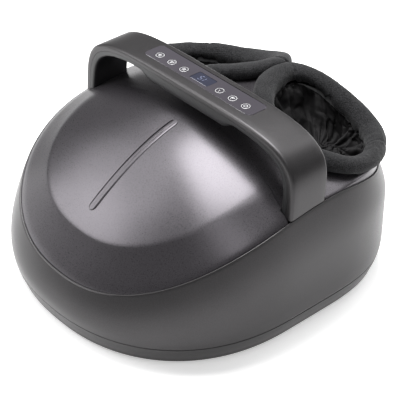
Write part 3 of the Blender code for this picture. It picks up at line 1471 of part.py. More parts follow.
def pillow(x, y, half_x, half_y, base, thick):
    """A flat bag with round edges, lying on a surface whose height depends on y."""
    rings = []
    for share, rise in ((BAG_EDGE_SHARE, 0), (1, thick / 2), (BAG_EDGE_SHARE, thick)):
        plan = superellipse(x, y, half_x * share, half_y * share, 3, 20)
        rings.append(plan_ring(plan, base(plan[:, 1]) + rise))
    return stack(rings)


def bag_seat_z(y):
    """Height of the lining's top line over the toes, with the bag's gap to it."""
    rear, toe = SOCK_LENGTH_SHARES[3][0], SOCK_LENGTH_SHARES[4][0]
    share = (y - WELL_Y) / WELL_HALF_LENGTH
    rise = rear[1] + (toe[1] - rear[1]) * (share - rear[0]) / (toe[0] - rear[0])
    return LINING_SOLE_Z + SOCK_HEIGHT * rise + BAG_GAP


def superellipse(x, y, half_x, half_y, power, steps):
    turn = np.arange(steps) * 2 * math.pi / steps
    across, along = bent(np.cos(turn), power), bent(np.sin(turn), power)
    return np.column_stack([x + half_x * across, y + half_y * along])


def airbag(name, side):
    bag = pillow(side * WELL_X, BAG_Y, BAG_HALF_WIDTH, BAG_HALF_LENGTH, bag_seat_z, BAG_THICK)
    add("airbag_" + name, bag, GREY_LOOK)


def heater_pad(name, side):
    low = WELL_FLOOR_Z + WELL_WALL + REST_GAP
    length = PAD_REAR_Y - PAD_FRONT_Y
    corner = min(PLATE_CORNER_R, length / 3)
    middle_y = (PAD_FRONT_Y + PAD_REAR_Y) / 2
    plan = rounded(side * WELL_X, middle_y, PAD_WIDTH, length, corner, 3)
    add("heater_pad_" + name, prism(plan, low, low + PAD_THICK), HEATER_LOOK)


def air_pump():
    low = floor_top() + REST_GAP
    plan = rounded(0, PUMP_Y, PUMP_WIDTH, PUMP_LENGTH, PLATE_CORNER_R)
    pump = add("air_pump", prism(plan, low, low + PUMP_HEIGHT), GREY_LOOK)
    back = PUMP_Y + PUMP_LENGTH / 2
    profile = [(PUMP_PORT_R, back - PUMP_PORT), (PUMP_PORT_R, back + PUMP_PORT)]
    port = turned_along_y(profile, 0, low + PUMP_HEIGHT / 2, 10)
    combine(pump, [port], "UNION")


def valve_block():
    low = floor_top() + REST_GAP
    plan = rounded(0, VALVE_Y, VALVE_WIDTH, VALVE_LENGTH, PUMP_PORT_R)
    block = add("valve_block", prism(plan, low, low + VALVE_HEIGHT), BLACK_LOOK)
    top = low + VALVE_HEIGHT
    nipples = []
    for k in (-1, 0, 1):
        x = k * VALVE_WIDTH / 3
        profile = [(PUMP_PORT_R, top - PUMP_PORT / 2), (PUMP_PORT_R, top + PUMP_PORT)]
        nipples.append(turned(profile, x, VALVE_Y, 10))
    combine(block, nipples, "UNION")


def main_board_posts():
    reach_x = MAIN_BOARD_WIDTH / 2 - MAIN_BOARD_MARGIN
    reach_y = MAIN_BOARD_LENGTH / 2 - MAIN_BOARD_MARGIN
    return [(sx * reach_x, MAIN_BOARD_Y + sy * reach_y) for sx in (1, -1) for sy in (1, -1)]


def main_board():
    low = floor_top() + MAIN_BOARD_POST + REST_GAP
    top = low + BOARD_THICK
    plate = centred_box(0, MAIN_BOARD_Y, MAIN_BOARD_WIDTH, MAIN_BOARD_LENGTH, low, top)
    board = add("main_board", plate, BOARD_LOOK)
    chips = []
    for k in (-1, 0, 1):
        y = MAIN_BOARD_Y + k * (CHIP_LENGTH + MAIN_BOARD_MARGIN)
        base = low + BOARD_THICK / 2
        x = k * MAIN_BOARD_MARGIN
        chips.append(centred_box(x, y, CHIP_LENGTH, CHIP_LENGTH, base, top + CHIP_HEIGHT))
    combine(board, chips, "UNION")


def dc_inlet():
    back = HEEL_Y + FLARE_HEEL - INLET_INSET
    profile = [(INLET_R, back - INLET_LENGTH), (INLET_R, back)]
    inlet = add("dc_inlet", turned_along_y(profile, 0, INLET_Z, 20), BLACK_LOOK)
    bore_ends = [(INLET_BORE_R, back - INLET_BORE), (INLET_BORE_R, back + OVERRUN)]
    hole = turned_along_y(bore_ends, 0, INLET_Z, 12)
    combine(inlet, [hole], "DIFFERENCE")


def main():
    clear_scene()
    lower_shell()
    base_tray()
    base_screws()
    rubber_feet()
    front_cover()
    cover_strip()
    rear_deck()
    handle_upper()
    handle_lower()
    handle_screws()
    control_panel()
    display_window()
    keys()
    control_board()
    for name, side in SIDES:
        cuff(name, side)
        lining(name, side)
        foot_well(name, side)
        gear_tray(name, side)
        kneading_discs(name, side)
        drive_pinion(name, side)
        motor_worm(name, side)
        drive_motor(name, side)
        airbag(name, side)
        heater_pad(name, side)
    air_pump()
    valve_block()
    main_board()
    dc_inlet()


main()
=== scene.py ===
"""Foot massager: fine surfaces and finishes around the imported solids. All sizes are in metres."""

import json
import math

import bmesh
import bpy
import numpy as np
from mathutils import Matrix, Vector, noise


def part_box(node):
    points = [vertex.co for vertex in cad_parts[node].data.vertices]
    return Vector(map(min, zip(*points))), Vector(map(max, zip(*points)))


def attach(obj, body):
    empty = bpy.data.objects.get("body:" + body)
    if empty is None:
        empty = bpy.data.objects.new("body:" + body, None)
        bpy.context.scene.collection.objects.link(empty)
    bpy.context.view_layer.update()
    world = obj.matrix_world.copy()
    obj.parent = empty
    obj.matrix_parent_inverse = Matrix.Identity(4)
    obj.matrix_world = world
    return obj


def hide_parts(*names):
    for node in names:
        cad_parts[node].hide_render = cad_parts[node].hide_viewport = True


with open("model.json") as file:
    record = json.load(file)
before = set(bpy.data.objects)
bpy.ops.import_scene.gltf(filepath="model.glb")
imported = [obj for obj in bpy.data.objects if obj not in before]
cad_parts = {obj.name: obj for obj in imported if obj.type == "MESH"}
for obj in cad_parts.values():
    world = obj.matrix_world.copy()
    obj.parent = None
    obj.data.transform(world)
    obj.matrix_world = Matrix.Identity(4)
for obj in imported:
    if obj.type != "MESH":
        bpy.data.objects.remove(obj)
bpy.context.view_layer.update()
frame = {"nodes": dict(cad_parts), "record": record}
scene = bpy.context.scene

# Camera, fitted to the photograph.
CAMERA_AT = (1.02021, -0.84613, 1.01992)
CAMERA_RIGHT = (0.64926, 0.76056, 0.0)
CAMERA_UP = (-0.43723, 0.37336, 0.81819)
CAMERA_BACK = (0.62232, -0.53117, 0.57495)
CAMERA_LENS = 122.5
CAMERA_SHIFT = (-0.01617, -0.02065)

# Seam between the lower shell and the pieces above it, in plan and in height.
SEAM_HALF_WIDTH = 0.185
TOE_START_Y, TOE_REACH, TOE_POWER = -0.01275, 0.184, 2.27
HEEL_START_Y, HEEL_REACH, HEEL_POWER = 0.04275, 0.158, 2.79
TOE_Y, HEEL_Y = TOE_START_Y - TOE_REACH, HEEL_START_Y + HEEL_REACH
SEAM_PEAK_Y, SEAM_PEAK_Z = 0.05375, 0.1585
SEAM_TOE_Z, SEAM_HEEL_DROP = 0.0707, 0.026

# Shell wall and the tray that closes it below.
SHELL_WALL, SHELL_FOOT_Z = 0.003, 0.0266
FLARE_TOE, FLARE_HEEL = 0.0146, 0.010
FLARE_TOE_DEPTH, FLARE_HEEL_DEPTH = 0.56, 0.24
TUCK, TUCK_TOP_Z = 0.0116, 0.043
LIP_WIDTH, LIP_ROUND = 0.0016, 0.0007
LEDGE_DROP, LEDGE_WIDTH, LEDGE_THICK = 0.0025, 0.006, 0.0035
SEAM_GAP, CUT_PAST, WELD = 0.0003, 0.004, 0.000002
TRAY_BOTTOM_Z, TRAY_FLOOR, TRAY_ROUND = 0.003, 0.005, 0.004
TRAY_RIM, TRAY_UPSTAND = 0.003, 0.003
INLET_R, INLET_Z, INLET_LENGTH = 0.0075, 0.045, 0.018
TRAY_SCREW_HOLE, FOOT_STEP = 0.0040, 0.0006

# Front cover and the strip along it.
COVER_TOP_Z, COVER_REAR_Y, COVER_BOW, COVER_BOW_POWER = 0.200, 0.00575, 0.022, 8
COVER_WALL = 0.0026
CREASE_SIDE, CREASE_TOE = 0.76, 0.85
CREASE_SIDE_FALL, CREASE_TOE_FALL = 0.48, 0.657
CROWN_SIDE, CROWN_TOE = 2.0, 1.72
CREASE_SOFT_SIDE, CREASE_SOFT_TOE = 0.08, 0.005
STRIP_HALF, STRIP_DEPTH, STRIP_GAP = 0.0055, 0.0014, 0.0003
STRIP_ENDS, STRIP_SLOT_TOP = (-0.146, -0.020), 0.006
STRIP_CROWN = ((1.0, STRIP_DEPTH - STRIP_GAP), (0.96, 0.0010), (0.86, 0.0006), (0.80, 0.00025),
               (0.76, 0.0001), (0.5, 0.0), (0.2, 0.0))
RIM_ROUND, RIM_CROWN = 0.0008, 0.0017

# Rear deck.
DECK_RIDGE_Z, DECK_CENTRE_Y = 0.2005, 0.06375
DECK_DIP, DECK_HEEL_RISE = 0.004, 0.019
DECK_SIDE_POWER, DECK_HEEL_POWER = 1.8, 5.8
DECK_WALL, DECK_GAP = 0.0028, 0.0006
HOLE_INSET = 0.0045

# Cuffs and the linings inside them.
CUFF_X, CUFF_Y, CUFF_TURN, CUFF_POWER = 0.089, 0.121, -0.37, 1.8
CUFF_LENGTH_HALF, CUFF_WIDTH_HALF = 0.0835, 0.067
CUFF_PAD_R, CUFF_LIFT, CUFF_SEAT = 0.0122, 0.0048, 0.0011
CUFF_START_IN, CUFF_INNER_SWELL, CUFF_INNER_FALL = 0.0016, 0.55, 1.8
CUFF_LIP, CUFF_LIP_BLEND, CUFF_UNEVEN, CUFF_HALF_GAP = 0.0115, 0.003, 0.04, 0.0003
CUFF_GRID, CUFF_VOXEL, CUFF_MOST, CUFF_ROUND = (120, 26), 0.0042, 0.0024, 0.47
CUFF_SEAM_WIDTH, CUFF_SEAM_SLANT = 0.0016, 0.0025
CUFF_FOLDS_PER_M, CUFF_FOLD_REACH, CUFF_FOLD = 420, 0.016, 0.00050
CUFF_LUMPS = ((26, 0.0007), (70, 0.00028))
CUFF_SEAMS = ((0.1562, 0.0012), (0.5062, 0.003), (0.8125, 0.0012))
THROAT, THROAT_SIZE = (0.105, 0.123, 0.146), (0.011, 0.008, 0.004)
LINING_INSET, LINING_START_DROP = 0.0148, 0.004
LINING_ROUND, LINING_ROWS, LINING_SAG, LINING_SLACK = 168, 44, 0.006, 0.34
LINING_FOLDS = ((5, 0.4, 1.5, 0.0040), (8, 2.0, -2.5, 0.0035),
                (13, 1.1, 3.0, 0.0022), (21, 0.2, -4.0, 0.0012))
LINING_TOE, LINING_TOE_SIZE = (0.087, 0.070, 0.084), (0.030, 0, 0.014)
SOCK_ROWS, LINING_MOST = 10, 0.016
CREASES, CREASE_BASE = ((30, (3, 0), 0.0032), (85, (0, 5), 0.0010)), 0.0014
PLEATS, PLEAT_DEPTH, PLEAT_LEANS = 34, 0.0042, ((16, 3.4), (50, 0.9))
PLEAT_PATCH, PLEAT_PATCH_SCALE = 1.6, 20
WELL_LOW_Z, WELL_CLEAR = 0.128, 0.0012

# Airbags over the toes.
BAG_THICK, BAG_POWER, BAG_SEAM, BAG_SEAM_THICK = 0.009, 3, 0.93, 0.0008
BAG_WELDS, BAG_WELD_R, BAG_PUCKER, BAG_LIFT = (-0.40, 0.40), 0.0075, 0.0003, 0.0002

# Handle.
HANDLE_TOP_Z, HANDLE_FRONT_Y, HANDLE_DEPTH = 0.2362, -0.0145, 0.0529
HANDLE_LEAN, HANDLE_POWER = 0.006, 4.4
HANDLE_SIDE, HANDLE_TOP = 0.017, 0.012
SKIN_SIDE, SKIN_TOP, SKIN_GAP = 0.009, 0.0062, 0.0003
HANDLE_SEAT, HANDLE_BACK_GAP, HANDLE_ROUND = 0.0012, 0.0012, 0.0042
SKIN_LEVEL, LINER_ROUND, LINER_LEVEL = 0.42, 0.0028, 0.5
POD_DROP, POD_HALF_LENGTH, POD_BLEND = 0.0092, 0.062, 0.022

# Control panel, keys and display.
PANEL_SIZE, PANEL_Y, PANEL_CORNER = (0.1857, 0.0295), 0.02095, 0.006
PANEL_TOP_Z, PANEL_THICK, PANEL_GAP, PANEL_BEVEL = 0.2357, 0.0021, 0.0003, 0.00025
KEY_PLACES = {
    "air": -0.0750, "mode": -0.0531, "heat": -0.0313,
    "timer": 0.0313, "level": 0.0531, "power": 0.0750,
}
KEY_Y, KEY_R, KEY_CLEARANCE, KEY_PROUD = 0.0176, 0.00575, 0.00025, 0.0001
KEY_FLANGE, KEY_FLANGE_THICK, KEY_RETAIN, KEY_STEM_R = 0.0011, 0.0012, 0.0007, 0.002
KEY_ROOM, KEY_TRAVEL = 0.0005, 0.0007
DISPLAY_SIZE, DISPLAY_Y, DISPLAY_CORNER, SCREEN_BEVEL = (0.0300, 0.0165), 0.0203, 0.0015, 0.0002
RING_R, RING_LINE, SIGN_LINE, PRINT_LIFT = 0.0050, 0.00042, 0.0005, 0.00002

# Studio. Softboxes: name, azimuth and height of the direction in degrees, size, power.
FLOOR_GLOW, FLOOR_SIZE, FLOOR_CORNER, WORLD_LIGHT = 0.50, (60, 60), 5.0, 0.27
SOFTBOX_REACH, SOFTBOX_AIM = 1.9, (0.03, 0, 0.12)
SOFTBOXES = (
    ("top_light", 155, 75, (1.0, 1.0), 53),
    ("fill_light", -150, 50, (0.8, 0.8), 9),
    ("left_light", -139, 34, (0.7, 0.6), 11),
    ("low_light", -150, 2, (1.2, 0.35), 4),
    ("right_light", -44, 67, (0.5, 0.5), 3),
    ("deck_light", 84, 54, (0.35, 0.35), 3),
    ("back_light", 85, 28, (1.4, 0.7), 15),
)

# How finely the surfaces are divided.
OUTLINE_STEPS = 192
ROUND_STEPS = 48


def bent(value, power):
    return np.sign(value) * np.abs(value) ** (2 / power)


def eased(share):
    share = np.clip(share, 0, 1)
    return share * share * (3 - 2 * share)


def unit(rows):
    return rows / np.linalg.norm(rows, axis=1)[:, None]


def outward(plan):
    """Unit directions out of a closed plan."""
    along = np.roll(plan, -1, axis=0) - np.roll(plan, 1, axis=0)
    return unit(np.column_stack([along[:, 1], -along[:, 0]]))


# Meshes.


def edited(mesh, *steps, sharp=0):
    """Runs editing steps on a mesh and shades it smooth, but for edges sharper than an angle."""
    work = bmesh.new()
    work.from_mesh(mesh)
    for step in steps:
        step(work)
    work.to_mesh(mesh)
    work.free()
    mesh.shade_smooth()
    if sharp:
        mesh.set_sharp_from_angle(angle=math.radians(sharp))


def face_out(work):
    bmesh.ops.recalc_face_normals(work, faces=work.faces)


def face_up(work):
    for face in work.faces:
        if face.normal.z < 0:
            face.normal_flip()


def weld(work):
    bmesh.ops.remove_doubles(work, verts=work.verts, dist=WELD)
    bmesh.ops.dissolve_degenerate(work, edges=work.edges, dist=WELD)


def placed(name, data):
    made = bpy.data.objects.new(name, data)
    scene.collection.objects.link(made)
    return made


def make(name, points, faces, sharp=35, body="housing"):
    """One mesh object riding on a body, its faces pointing out."""
    mesh = bpy.data.meshes.new(name)
    mesh.from_pydata([tuple(p) for p in points], [], faces)
    edited(mesh, face_out, sharp=sharp)
    piece = placed(name, mesh)
    if body:
        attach(piece, body)
    return piece


def lofted(rings, loop=False, wrap=True, caps=True):
    """Quads over rings of equal count. Returns points and faces."""
    count = len(rings[0])
    points = np.concatenate(rings)
    faces = []
    for r in range(len(rings) if loop else len(rings) - 1):
        a, b = r * count, (r + 1) % len(rings) * count
        for i in range(count if wrap else count - 1):
            j = (i + 1) % count
            faces.append((a + i, a + j, b + j, b + i))
    if caps and not loop and wrap:
        faces.append(tuple(range(count)))
        faces.append(tuple((len(rings) - 1) * count + i for i in range(count)))
    return points, faces


def merged(shapes):
    points, faces = [], []
    for some, more in shapes:
        faces += [tuple(v + len(points) for v in face) for face in more]
        points += [tuple(p) for p in some]
    return points, faces


def level(plan, z):
    plan = np.asarray(plan)
    return np.column_stack([plan, np.broadcast_to(z, len(plan))])


def stack(*rows):
    """A closed shape over plans, each at its own height."""
    return lofted([level(*row) for row in rows])


def prism(plan, low, high):
    return stack((plan, low), (plan, high))


def full_turn(steps):
    return np.arange(steps) * 2 * math.pi / steps


def oval(middle, size, turn):
    """A ring round a point, with its half size along x, y and z."""
    (x, y, z), (wide, deep, high) = middle, size
    return np.column_stack([x + wide * np.cos(turn), y + deep * np.sin(turn), z + high * np.sin(turn)])


def circle(x, y, r, steps=ROUND_STEPS):
    turn = full_turn(steps)
    return np.column_stack([x + r * np.cos(turn), y + r * np.sin(turn)])


def arc(r, start, end, y=0.0, steps=40):
    """An arc round a point on the y axis, between two turns in degrees."""
    turn = np.radians(np.linspace(start, end, steps + 1))
    return np.column_stack([r * np.cos(turn), y + r * np.sin(turn)])


def rounded(x, y, size, r, steps=10):
    points = []
    for quarter, (sx, sy) in enumerate(((1, 1), (-1, 1), (-1, -1), (1, -1))):
        for k in range(steps + 1):
            turn = (quarter + k / steps) * math.pi / 2
            points.append((x + sx * (size[0] / 2 - r) + r * math.cos(turn),
                           y + sy * (size[1] / 2 - r) + r * math.sin(turn)))
    return np.array(points)


def grown(size, edge):
    return size[0] + 2 * edge, size[1] + 2 * edge


def apply_modifiers(piece):
    graph = bpy.context.evaluated_depsgraph_get()
    mesh = bpy.data.meshes.new_from_object(piece.evaluated_get(graph))
    old = piece.data
    piece.modifiers.clear()
    piece.data = mesh
    bpy.data.meshes.remove(old)


def cut(piece, shapes, sharp=35):
    """Takes closed shapes away from a piece."""
    for shape in shapes:
        tool = make(piece.name + "_cutter", *shape, body=None)
        step = piece.modifiers.new("Cut", "BOOLEAN")
        step.operation, step.solver, step.object = "DIFFERENCE", "MANIFOLD", tool
        apply_modifiers(piece)
        bpy.data.objects.remove(tool)
    edited(piece.data, weld, face_out, sharp=sharp)


# The seam and the surfaces that start from it.


def seam_z(y):
    y = np.asarray(y, float)
    toe = SEAM_PEAK_Z - (SEAM_PEAK_Z - SEAM_TOE_Z) * ((y - SEAM_PEAK_Y) / (SEAM_PEAK_Y - TOE_Y)) ** 2
    back = np.clip((y - SEAM_PEAK_Y) / (HEEL_Y - SEAM_PEAK_Y), 0, 1)
    heel = SEAM_PEAK_Z - SEAM_HEEL_DROP / 2 * (1 - np.cos(math.pi * back))
    return np.where(y < SEAM_PEAK_Y, toe, heel)


def seam_outline(steps):
    """Evenly spaced points of the seam in plan, from the toe round, with outward normals."""
    turn = np.linspace(-math.pi / 2, 0, 3000)
    half = np.concatenate([
        np.column_stack([SEAM_HALF_WIDTH * bent(np.cos(turns), power),
                         start + reach * bent(np.sin(turns), power)])
        for turns, start, reach, power in ((turn, TOE_START_Y, TOE_REACH, TOE_POWER),
                                           (turn[::-1], HEEL_START_Y, -HEEL_REACH, HEEL_POWER))])
    run = np.concatenate([[0], np.cumsum(np.hypot(*np.diff(half, axis=0).T))])
    wanted = np.linspace(0, run[-1], steps // 2 + 1)
    right = np.column_stack([np.interp(wanted, run, half[:, k]) for k in (0, 1)])
    whole = np.concatenate([right, right[-2:0:-1] * (-1, 1)])
    return whole, outward(whole)


SEAM, SEAM_NORMAL = seam_outline(OUTLINE_STEPS)


def wall_offset(z, y):
    top = seam_z(y)
    heel_share = (y - TOE_Y) / (HEEL_Y - TOE_Y)
    flare = FLARE_TOE + (FLARE_HEEL - FLARE_TOE) * heel_share
    down = FLARE_TOE_DEPTH + (FLARE_HEEL_DEPTH - FLARE_TOE_DEPTH) * heel_share
    depth = np.clip((top - z) / (top * down), 0, 1)
    tuck = TUCK * np.clip((TUCK_TOP_Z - z) / TUCK_TOP_Z, 0, 1) ** 2
    return flare * np.sin(math.pi / 2 * depth) - tuck


def seam_ring(offset, z):
    plan = SEAM + SEAM_NORMAL * np.broadcast_to(offset, len(SEAM))[:, None]
    return level(plan, z)


def seam_part(offset, cut_y, front):
    """The seam moved by an offset, on one side of a line across it, with the seam's own y."""
    plan, count = SEAM + SEAM_NORMAL * offset, len(SEAM)
    turns = range(-count // 2, count // 2 + 1) if front else range(count + 1)
    kept = []
    for i in turns:
        here, ahead = plan[i % count], plan[(i + 1) % count]
        level_y, next_y = SEAM[i % count][1], SEAM[(i + 1) % count][1]
        if here[1] < cut_y if front else here[1] > cut_y:
            kept.append((*here, level_y))
        if i != turns[-1] and (here[1] - cut_y) * (ahead[1] - cut_y) < 0:
            share = (cut_y - here[1]) / (ahead[1] - here[1])
            kept.append((*(here + (ahead - here) * share), level_y + (next_y - level_y) * share))
    return np.array(kept)


def crease_at(toe_share):
    return CREASE_SIDE + (CREASE_TOE - CREASE_SIDE) * toe_share


def cover_fall(s, toe_share):
    """How far down to the seam the cover has gone. The crease is crisp at the toe, soft at the sides."""
    power = CROWN_SIDE + (CROWN_TOE - CROWN_SIDE) * toe_share
    crease = crease_at(toe_share)
    fall = CREASE_SIDE_FALL + (CREASE_TOE_FALL - CREASE_SIDE_FALL) * toe_share
    skirt = fall + (1 - fall) * (s - crease) / (1 - crease)
    whole = np.where(s < crease, fall * (np.maximum(s, 0) / crease) ** power, skirt)
    width = CREASE_SOFT_TOE + (CREASE_SOFT_SIDE - CREASE_SOFT_TOE) * (1 - toe_share) ** 2.2
    slopes = (1 - fall) / (1 - crease) - power * fall / crease
    near = np.clip(1 - np.abs(s - crease) / width, 0, 1)
    return whole + slopes * width / 4 * near**2


def out_share(x, y, centre_y):
    """Share of the way from a centre to the seam at which a point lies, and the seam point's y."""
    x, y = np.broadcast_arrays(np.asarray(x, float), np.asarray(y, float))
    low, high = np.full(x.shape, 0.01), np.full(x.shape, 400.0)
    for _ in range(48):
        k = (low + high) / 2
        wide = np.abs(x * k) / SEAM_HALF_WIDTH
        deep = centre_y + (y - centre_y) * k
        toe = (np.maximum(TOE_START_Y - deep, 0) / TOE_REACH) ** TOE_POWER + wide**TOE_POWER
        heel = (np.maximum(deep - HEEL_START_Y, 0) / HEEL_REACH) ** HEEL_POWER + wide**HEEL_POWER
        outside = np.where(deep < TOE_START_Y, toe, heel) > 1
        low, high = np.where(outside, low, k), np.where(outside, k, high)
    return 1 / k, centre_y + (y - centre_y) * k


def toe_share_at(rim_y):
    return np.clip((COVER_REAR_Y - rim_y) / (COVER_REAR_Y - TOE_Y), 0, 1)


def cover_z(x, y):
    s, rim_y = out_share(x, y, COVER_REAR_Y)
    fall = cover_fall(s, toe_share_at(rim_y))
    return COVER_TOP_Z - (COVER_TOP_Z - seam_z(rim_y)) * fall


def deck_z(x, y):
    x, y = np.broadcast_arrays(np.asarray(x, float), np.asarray(y, float))
    front_share = np.clip((DECK_CENTRE_Y - y) / (DECK_CENTRE_Y - COVER_REAR_Y), 0, 1)
    ridge = DECK_RIDGE_Z - DECK_DIP * front_share**2
    wide = np.clip(np.abs(x) / SEAM_HALF_WIDTH, 0, 1)
    across = (1 - front_share) * wide**DECK_SIDE_POWER + front_share * cover_fall(wide, 0)
    front = ridge - (ridge - seam_z(y)) * across
    s, rim_y = out_share(x, y, DECK_CENTRE_Y)
    back_share = np.clip((rim_y - DECK_CENTRE_Y) / (HEEL_Y - DECK_CENTRE_Y), 0, 1)
    power = DECK_SIDE_POWER + (DECK_HEEL_POWER - DECK_SIDE_POWER) * back_share
    rim = seam_z(rim_y) + DECK_HEEL_RISE * back_share
    back = DECK_RIDGE_Z - (DECK_RIDGE_Z - rim) * np.clip(s, 0, 1) ** power
    return np.where(y < DECK_CENTRE_Y, front, back)


# Rigid pieces.


def lower_shell():
    y, top = SEAM[:, 1], seam_z(SEAM[:, 1])
    foot, edge, ledge = SHELL_FOOT_Z, LIP_ROUND / 2, -LIP_WIDTH - LEDGE_WIDTH
    profile = [(wall_offset(foot, y) - FOOT_STEP, foot)]
    for share in (0.006, 0.03, 0.08, 0.15, 0.24, 0.34, 0.44, 0.54, 0.62, 0.69, 0.75,
                  0.80, 0.84, 0.88, 0.915, 0.945, 0.97, 0.99):
        z = foot + (top - LIP_ROUND - foot) * share
        profile.append((wall_offset(z, y), z))
    for turn in (0, 0.5, 1.0, 1.57):
        profile.append((-LIP_ROUND * (1 - math.cos(turn)), top - LIP_ROUND * (1 - math.sin(turn))))
    profile += [(-LIP_WIDTH + edge, top), (-LIP_WIDTH + edge * 0.3, top - edge * 0.3),
                (-LIP_WIDTH, top - edge), (-LIP_WIDTH, top - LEDGE_DROP),
                (ledge, top - LEDGE_DROP), (ledge, top - LEDGE_DROP - LEDGE_THICK)]
    for share in (0.78, 0.5, 0.3, 0.16, 0):
        z = foot + (top - foot) * share
        profile.append((wall_offset(z, y) - SHELL_WALL, z))
    shell = make("shell", *lofted([seam_ring(*row) for row in profile], loop=True))
    back, ring = HEEL_Y + FLARE_HEEL, circle(0, INLET_Z, INLET_R + SEAM_GAP)
    cut(shell, [lofted([np.insert(ring, 1, at, axis=1)
                        for at in (back - INLET_LENGTH, back + CUT_PAST)])])
    return shell


def base_tray():
    y = SEAM[:, 1]
    low, floor, body = TRAY_BOTTOM_Z, TRAY_BOTTOM_Z + TRAY_FLOOR, TRAY_BOTTOM_Z + TRAY_ROUND
    seat, upstand = SHELL_FOOT_Z - SEAM_GAP, SHELL_FOOT_Z + TRAY_UPSTAND
    inner = wall_offset(SHELL_FOOT_Z, y) - SHELL_WALL - SEAM_GAP
    profile = [(wall_offset(body, y) - TRAY_ROUND * (1 - math.sin(turn)),
                low + TRAY_ROUND * (1 - math.cos(turn))) for turn in (0, 0.4, 0.8, 1.2, 1.57)]
    for share in (0.3, 0.6, 0.85, 0.97):
        z = body + (seat - body) * share
        profile.append((wall_offset(z, y), z))
    profile += [(wall_offset(seat, y) - FOOT_STEP, seat), (inner, seat), (inner, upstand),
                (inner - TRAY_RIM, upstand), (inner - TRAY_RIM, floor)]
    tray = make("tray", *lofted([seam_ring(*row) for row in profile]))
    holes = []
    for end in ("front", "rear"):
        for side in ("left", "right"):
            middle = sum(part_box(f"base_screw_{side}_{end}"), Vector()) / 2
            holes.append(prism(circle(middle.x, middle.y, TRAY_SCREW_HOLE, 24),
                               low - CUT_PAST, floor + CUT_PAST / 2))
    cut(tray, holes)
    return tray


def sheet_piece(name, middle, rings, low_rim, wall, whole):
    """A domed sheet with a turned-down rim and a wall thickness, from rings of points round a middle."""
    last = rings[-1]
    ahead, drop = unit(last - rings[-2]), low_rim - last
    drop /= np.maximum(np.linalg.norm(drop, axis=1), 1e-9)[:, None]
    rounding = [last - ahead * RIM_ROUND * share + drop * RIM_ROUND * (1 - share) ** 2 * 0.7
                for share in (1.0, 0.55, 0.2)]
    rows = [*rings[:-1], *rounding, last + drop * RIM_ROUND, low_rim]
    points, faces = lofted(rows, wrap=whole, caps=False)
    points = np.concatenate([points, [middle]])
    centre, count = len(points) - 1, len(rings[0])
    for j in range(count if whole else count - 1):
        faces.append((centre, j, (j + 1) % count))
    piece = make(name, points, faces, sharp=0)
    if sum(face.normal.z for face in piece.data.polygons) < 0:
        piece.data.flip_normals()
    step = piece.modifiers.new("Wall", "SOLIDIFY")
    step.thickness, step.offset = wall, -1
    apply_modifiers(piece)
    return piece


def handle_notches(front_y):
    """Cutters for the room of the handle's two feet."""
    inner, outer = SEAM_HALF_WIDTH - HANDLE_SIDE - SEAM_GAP, SEAM_HALF_WIDTH + CUT_PAST
    back_y = HANDLE_FRONT_Y + HANDLE_DEPTH + HANDLE_BACK_GAP
    plan = np.array([(inner, front_y), (outer, front_y), (outer, back_y), (inner, back_y)])
    return [prism(plan * (side, 1), SEAM_TOE_Z, HANDLE_TOP_Z) for side in (1, -1)]


def strip_plan(half):
    low, high = STRIP_ENDS[0] + half, STRIP_ENDS[1] - half
    ys = np.linspace(low, high, 40)[1:-1]
    side = np.column_stack([ys * 0 + half, ys])
    return np.concatenate([arc(half, 0, 180, high, 12), side[::-1] * (-1, 1),
                           arc(half, 180, 360, low, 12), side])


def front_cover():
    rim = seam_part(-(LIP_WIDTH + SEAM_GAP), COVER_REAR_Y - COVER_BOW, front=True)
    toe = toe_share_at(rim[:, 2])
    crease, width = crease_at(toe), np.abs(rim[:, 0]).max()
    rings = []
    inner = list(np.linspace(0, 1, 30)[1:-1]) + [0.985, 1.0]
    outer = [0.03, 0.08, 0.16, 0.28, 0.42, 0.56, 0.70, 0.80, 0.87, 0.92, 0.96, 0.985, 1.0]
    for s in [crease * u for u in inner] + [crease + (1 - crease) * v for v in outer]:
        x = rim[:, 0] * s
        y = COVER_REAR_Y + (rim[:, 1] - COVER_REAR_Y) * s
        y = y + COVER_BOW * (s - s * s) * (np.abs(rim[:, 0]) / width) ** COVER_BOW_POWER
        z = COVER_TOP_Z - (COVER_TOP_Z - seam_z(rim[:, 2])) * cover_fall(s, toe)
        skirt = np.clip((s - crease) / (1 - crease), 0, 1)
        z = z + RIM_CROWN * skirt * (1 - skirt**14)
        rings.append(np.column_stack([x, y, z]))
    low = np.column_stack([rim[:, 0], rim[:, 1], seam_z(rim[:, 2]) - LEDGE_DROP + SEAM_GAP])
    cover = sheet_piece("cover", np.array([0, COVER_REAR_Y, COVER_TOP_Z]), rings, low, COVER_WALL, False)
    plan = strip_plan(STRIP_HALF + STRIP_GAP)
    heights = cover_z(plan[:, 0] * 0, plan[:, 1])
    slot = stack((plan, heights - STRIP_DEPTH), (plan, heights + STRIP_SLOT_TOP))
    cut(cover, [slot] + handle_notches(HANDLE_FRONT_Y - SEAM_GAP), sharp=40)
    return cover


def cover_strip():
    """The inlaid strip: a crowned bar whose edges fall away into the slot."""
    rings = []
    for share, drop in STRIP_CROWN:
        plan = strip_plan(STRIP_HALF * share)
        rings.append(level(plan, cover_z(plan[:, 0] * 0, plan[:, 1]) - drop))
    return make("strip", *lofted(rings), sharp=60)


def cuff_path(inset, steps):
    turn = full_turn(steps)
    along = (CUFF_LENGTH_HALF - inset) * bent(np.cos(turn), CUFF_POWER)
    across = (CUFF_WIDTH_HALF - inset) * bent(np.sin(turn), CUFF_POWER)
    c, s = math.cos(CUFF_TURN), math.sin(CUFF_TURN)
    return np.column_stack([CUFF_X + along * c - across * s, CUFF_Y + along * s + across * c])


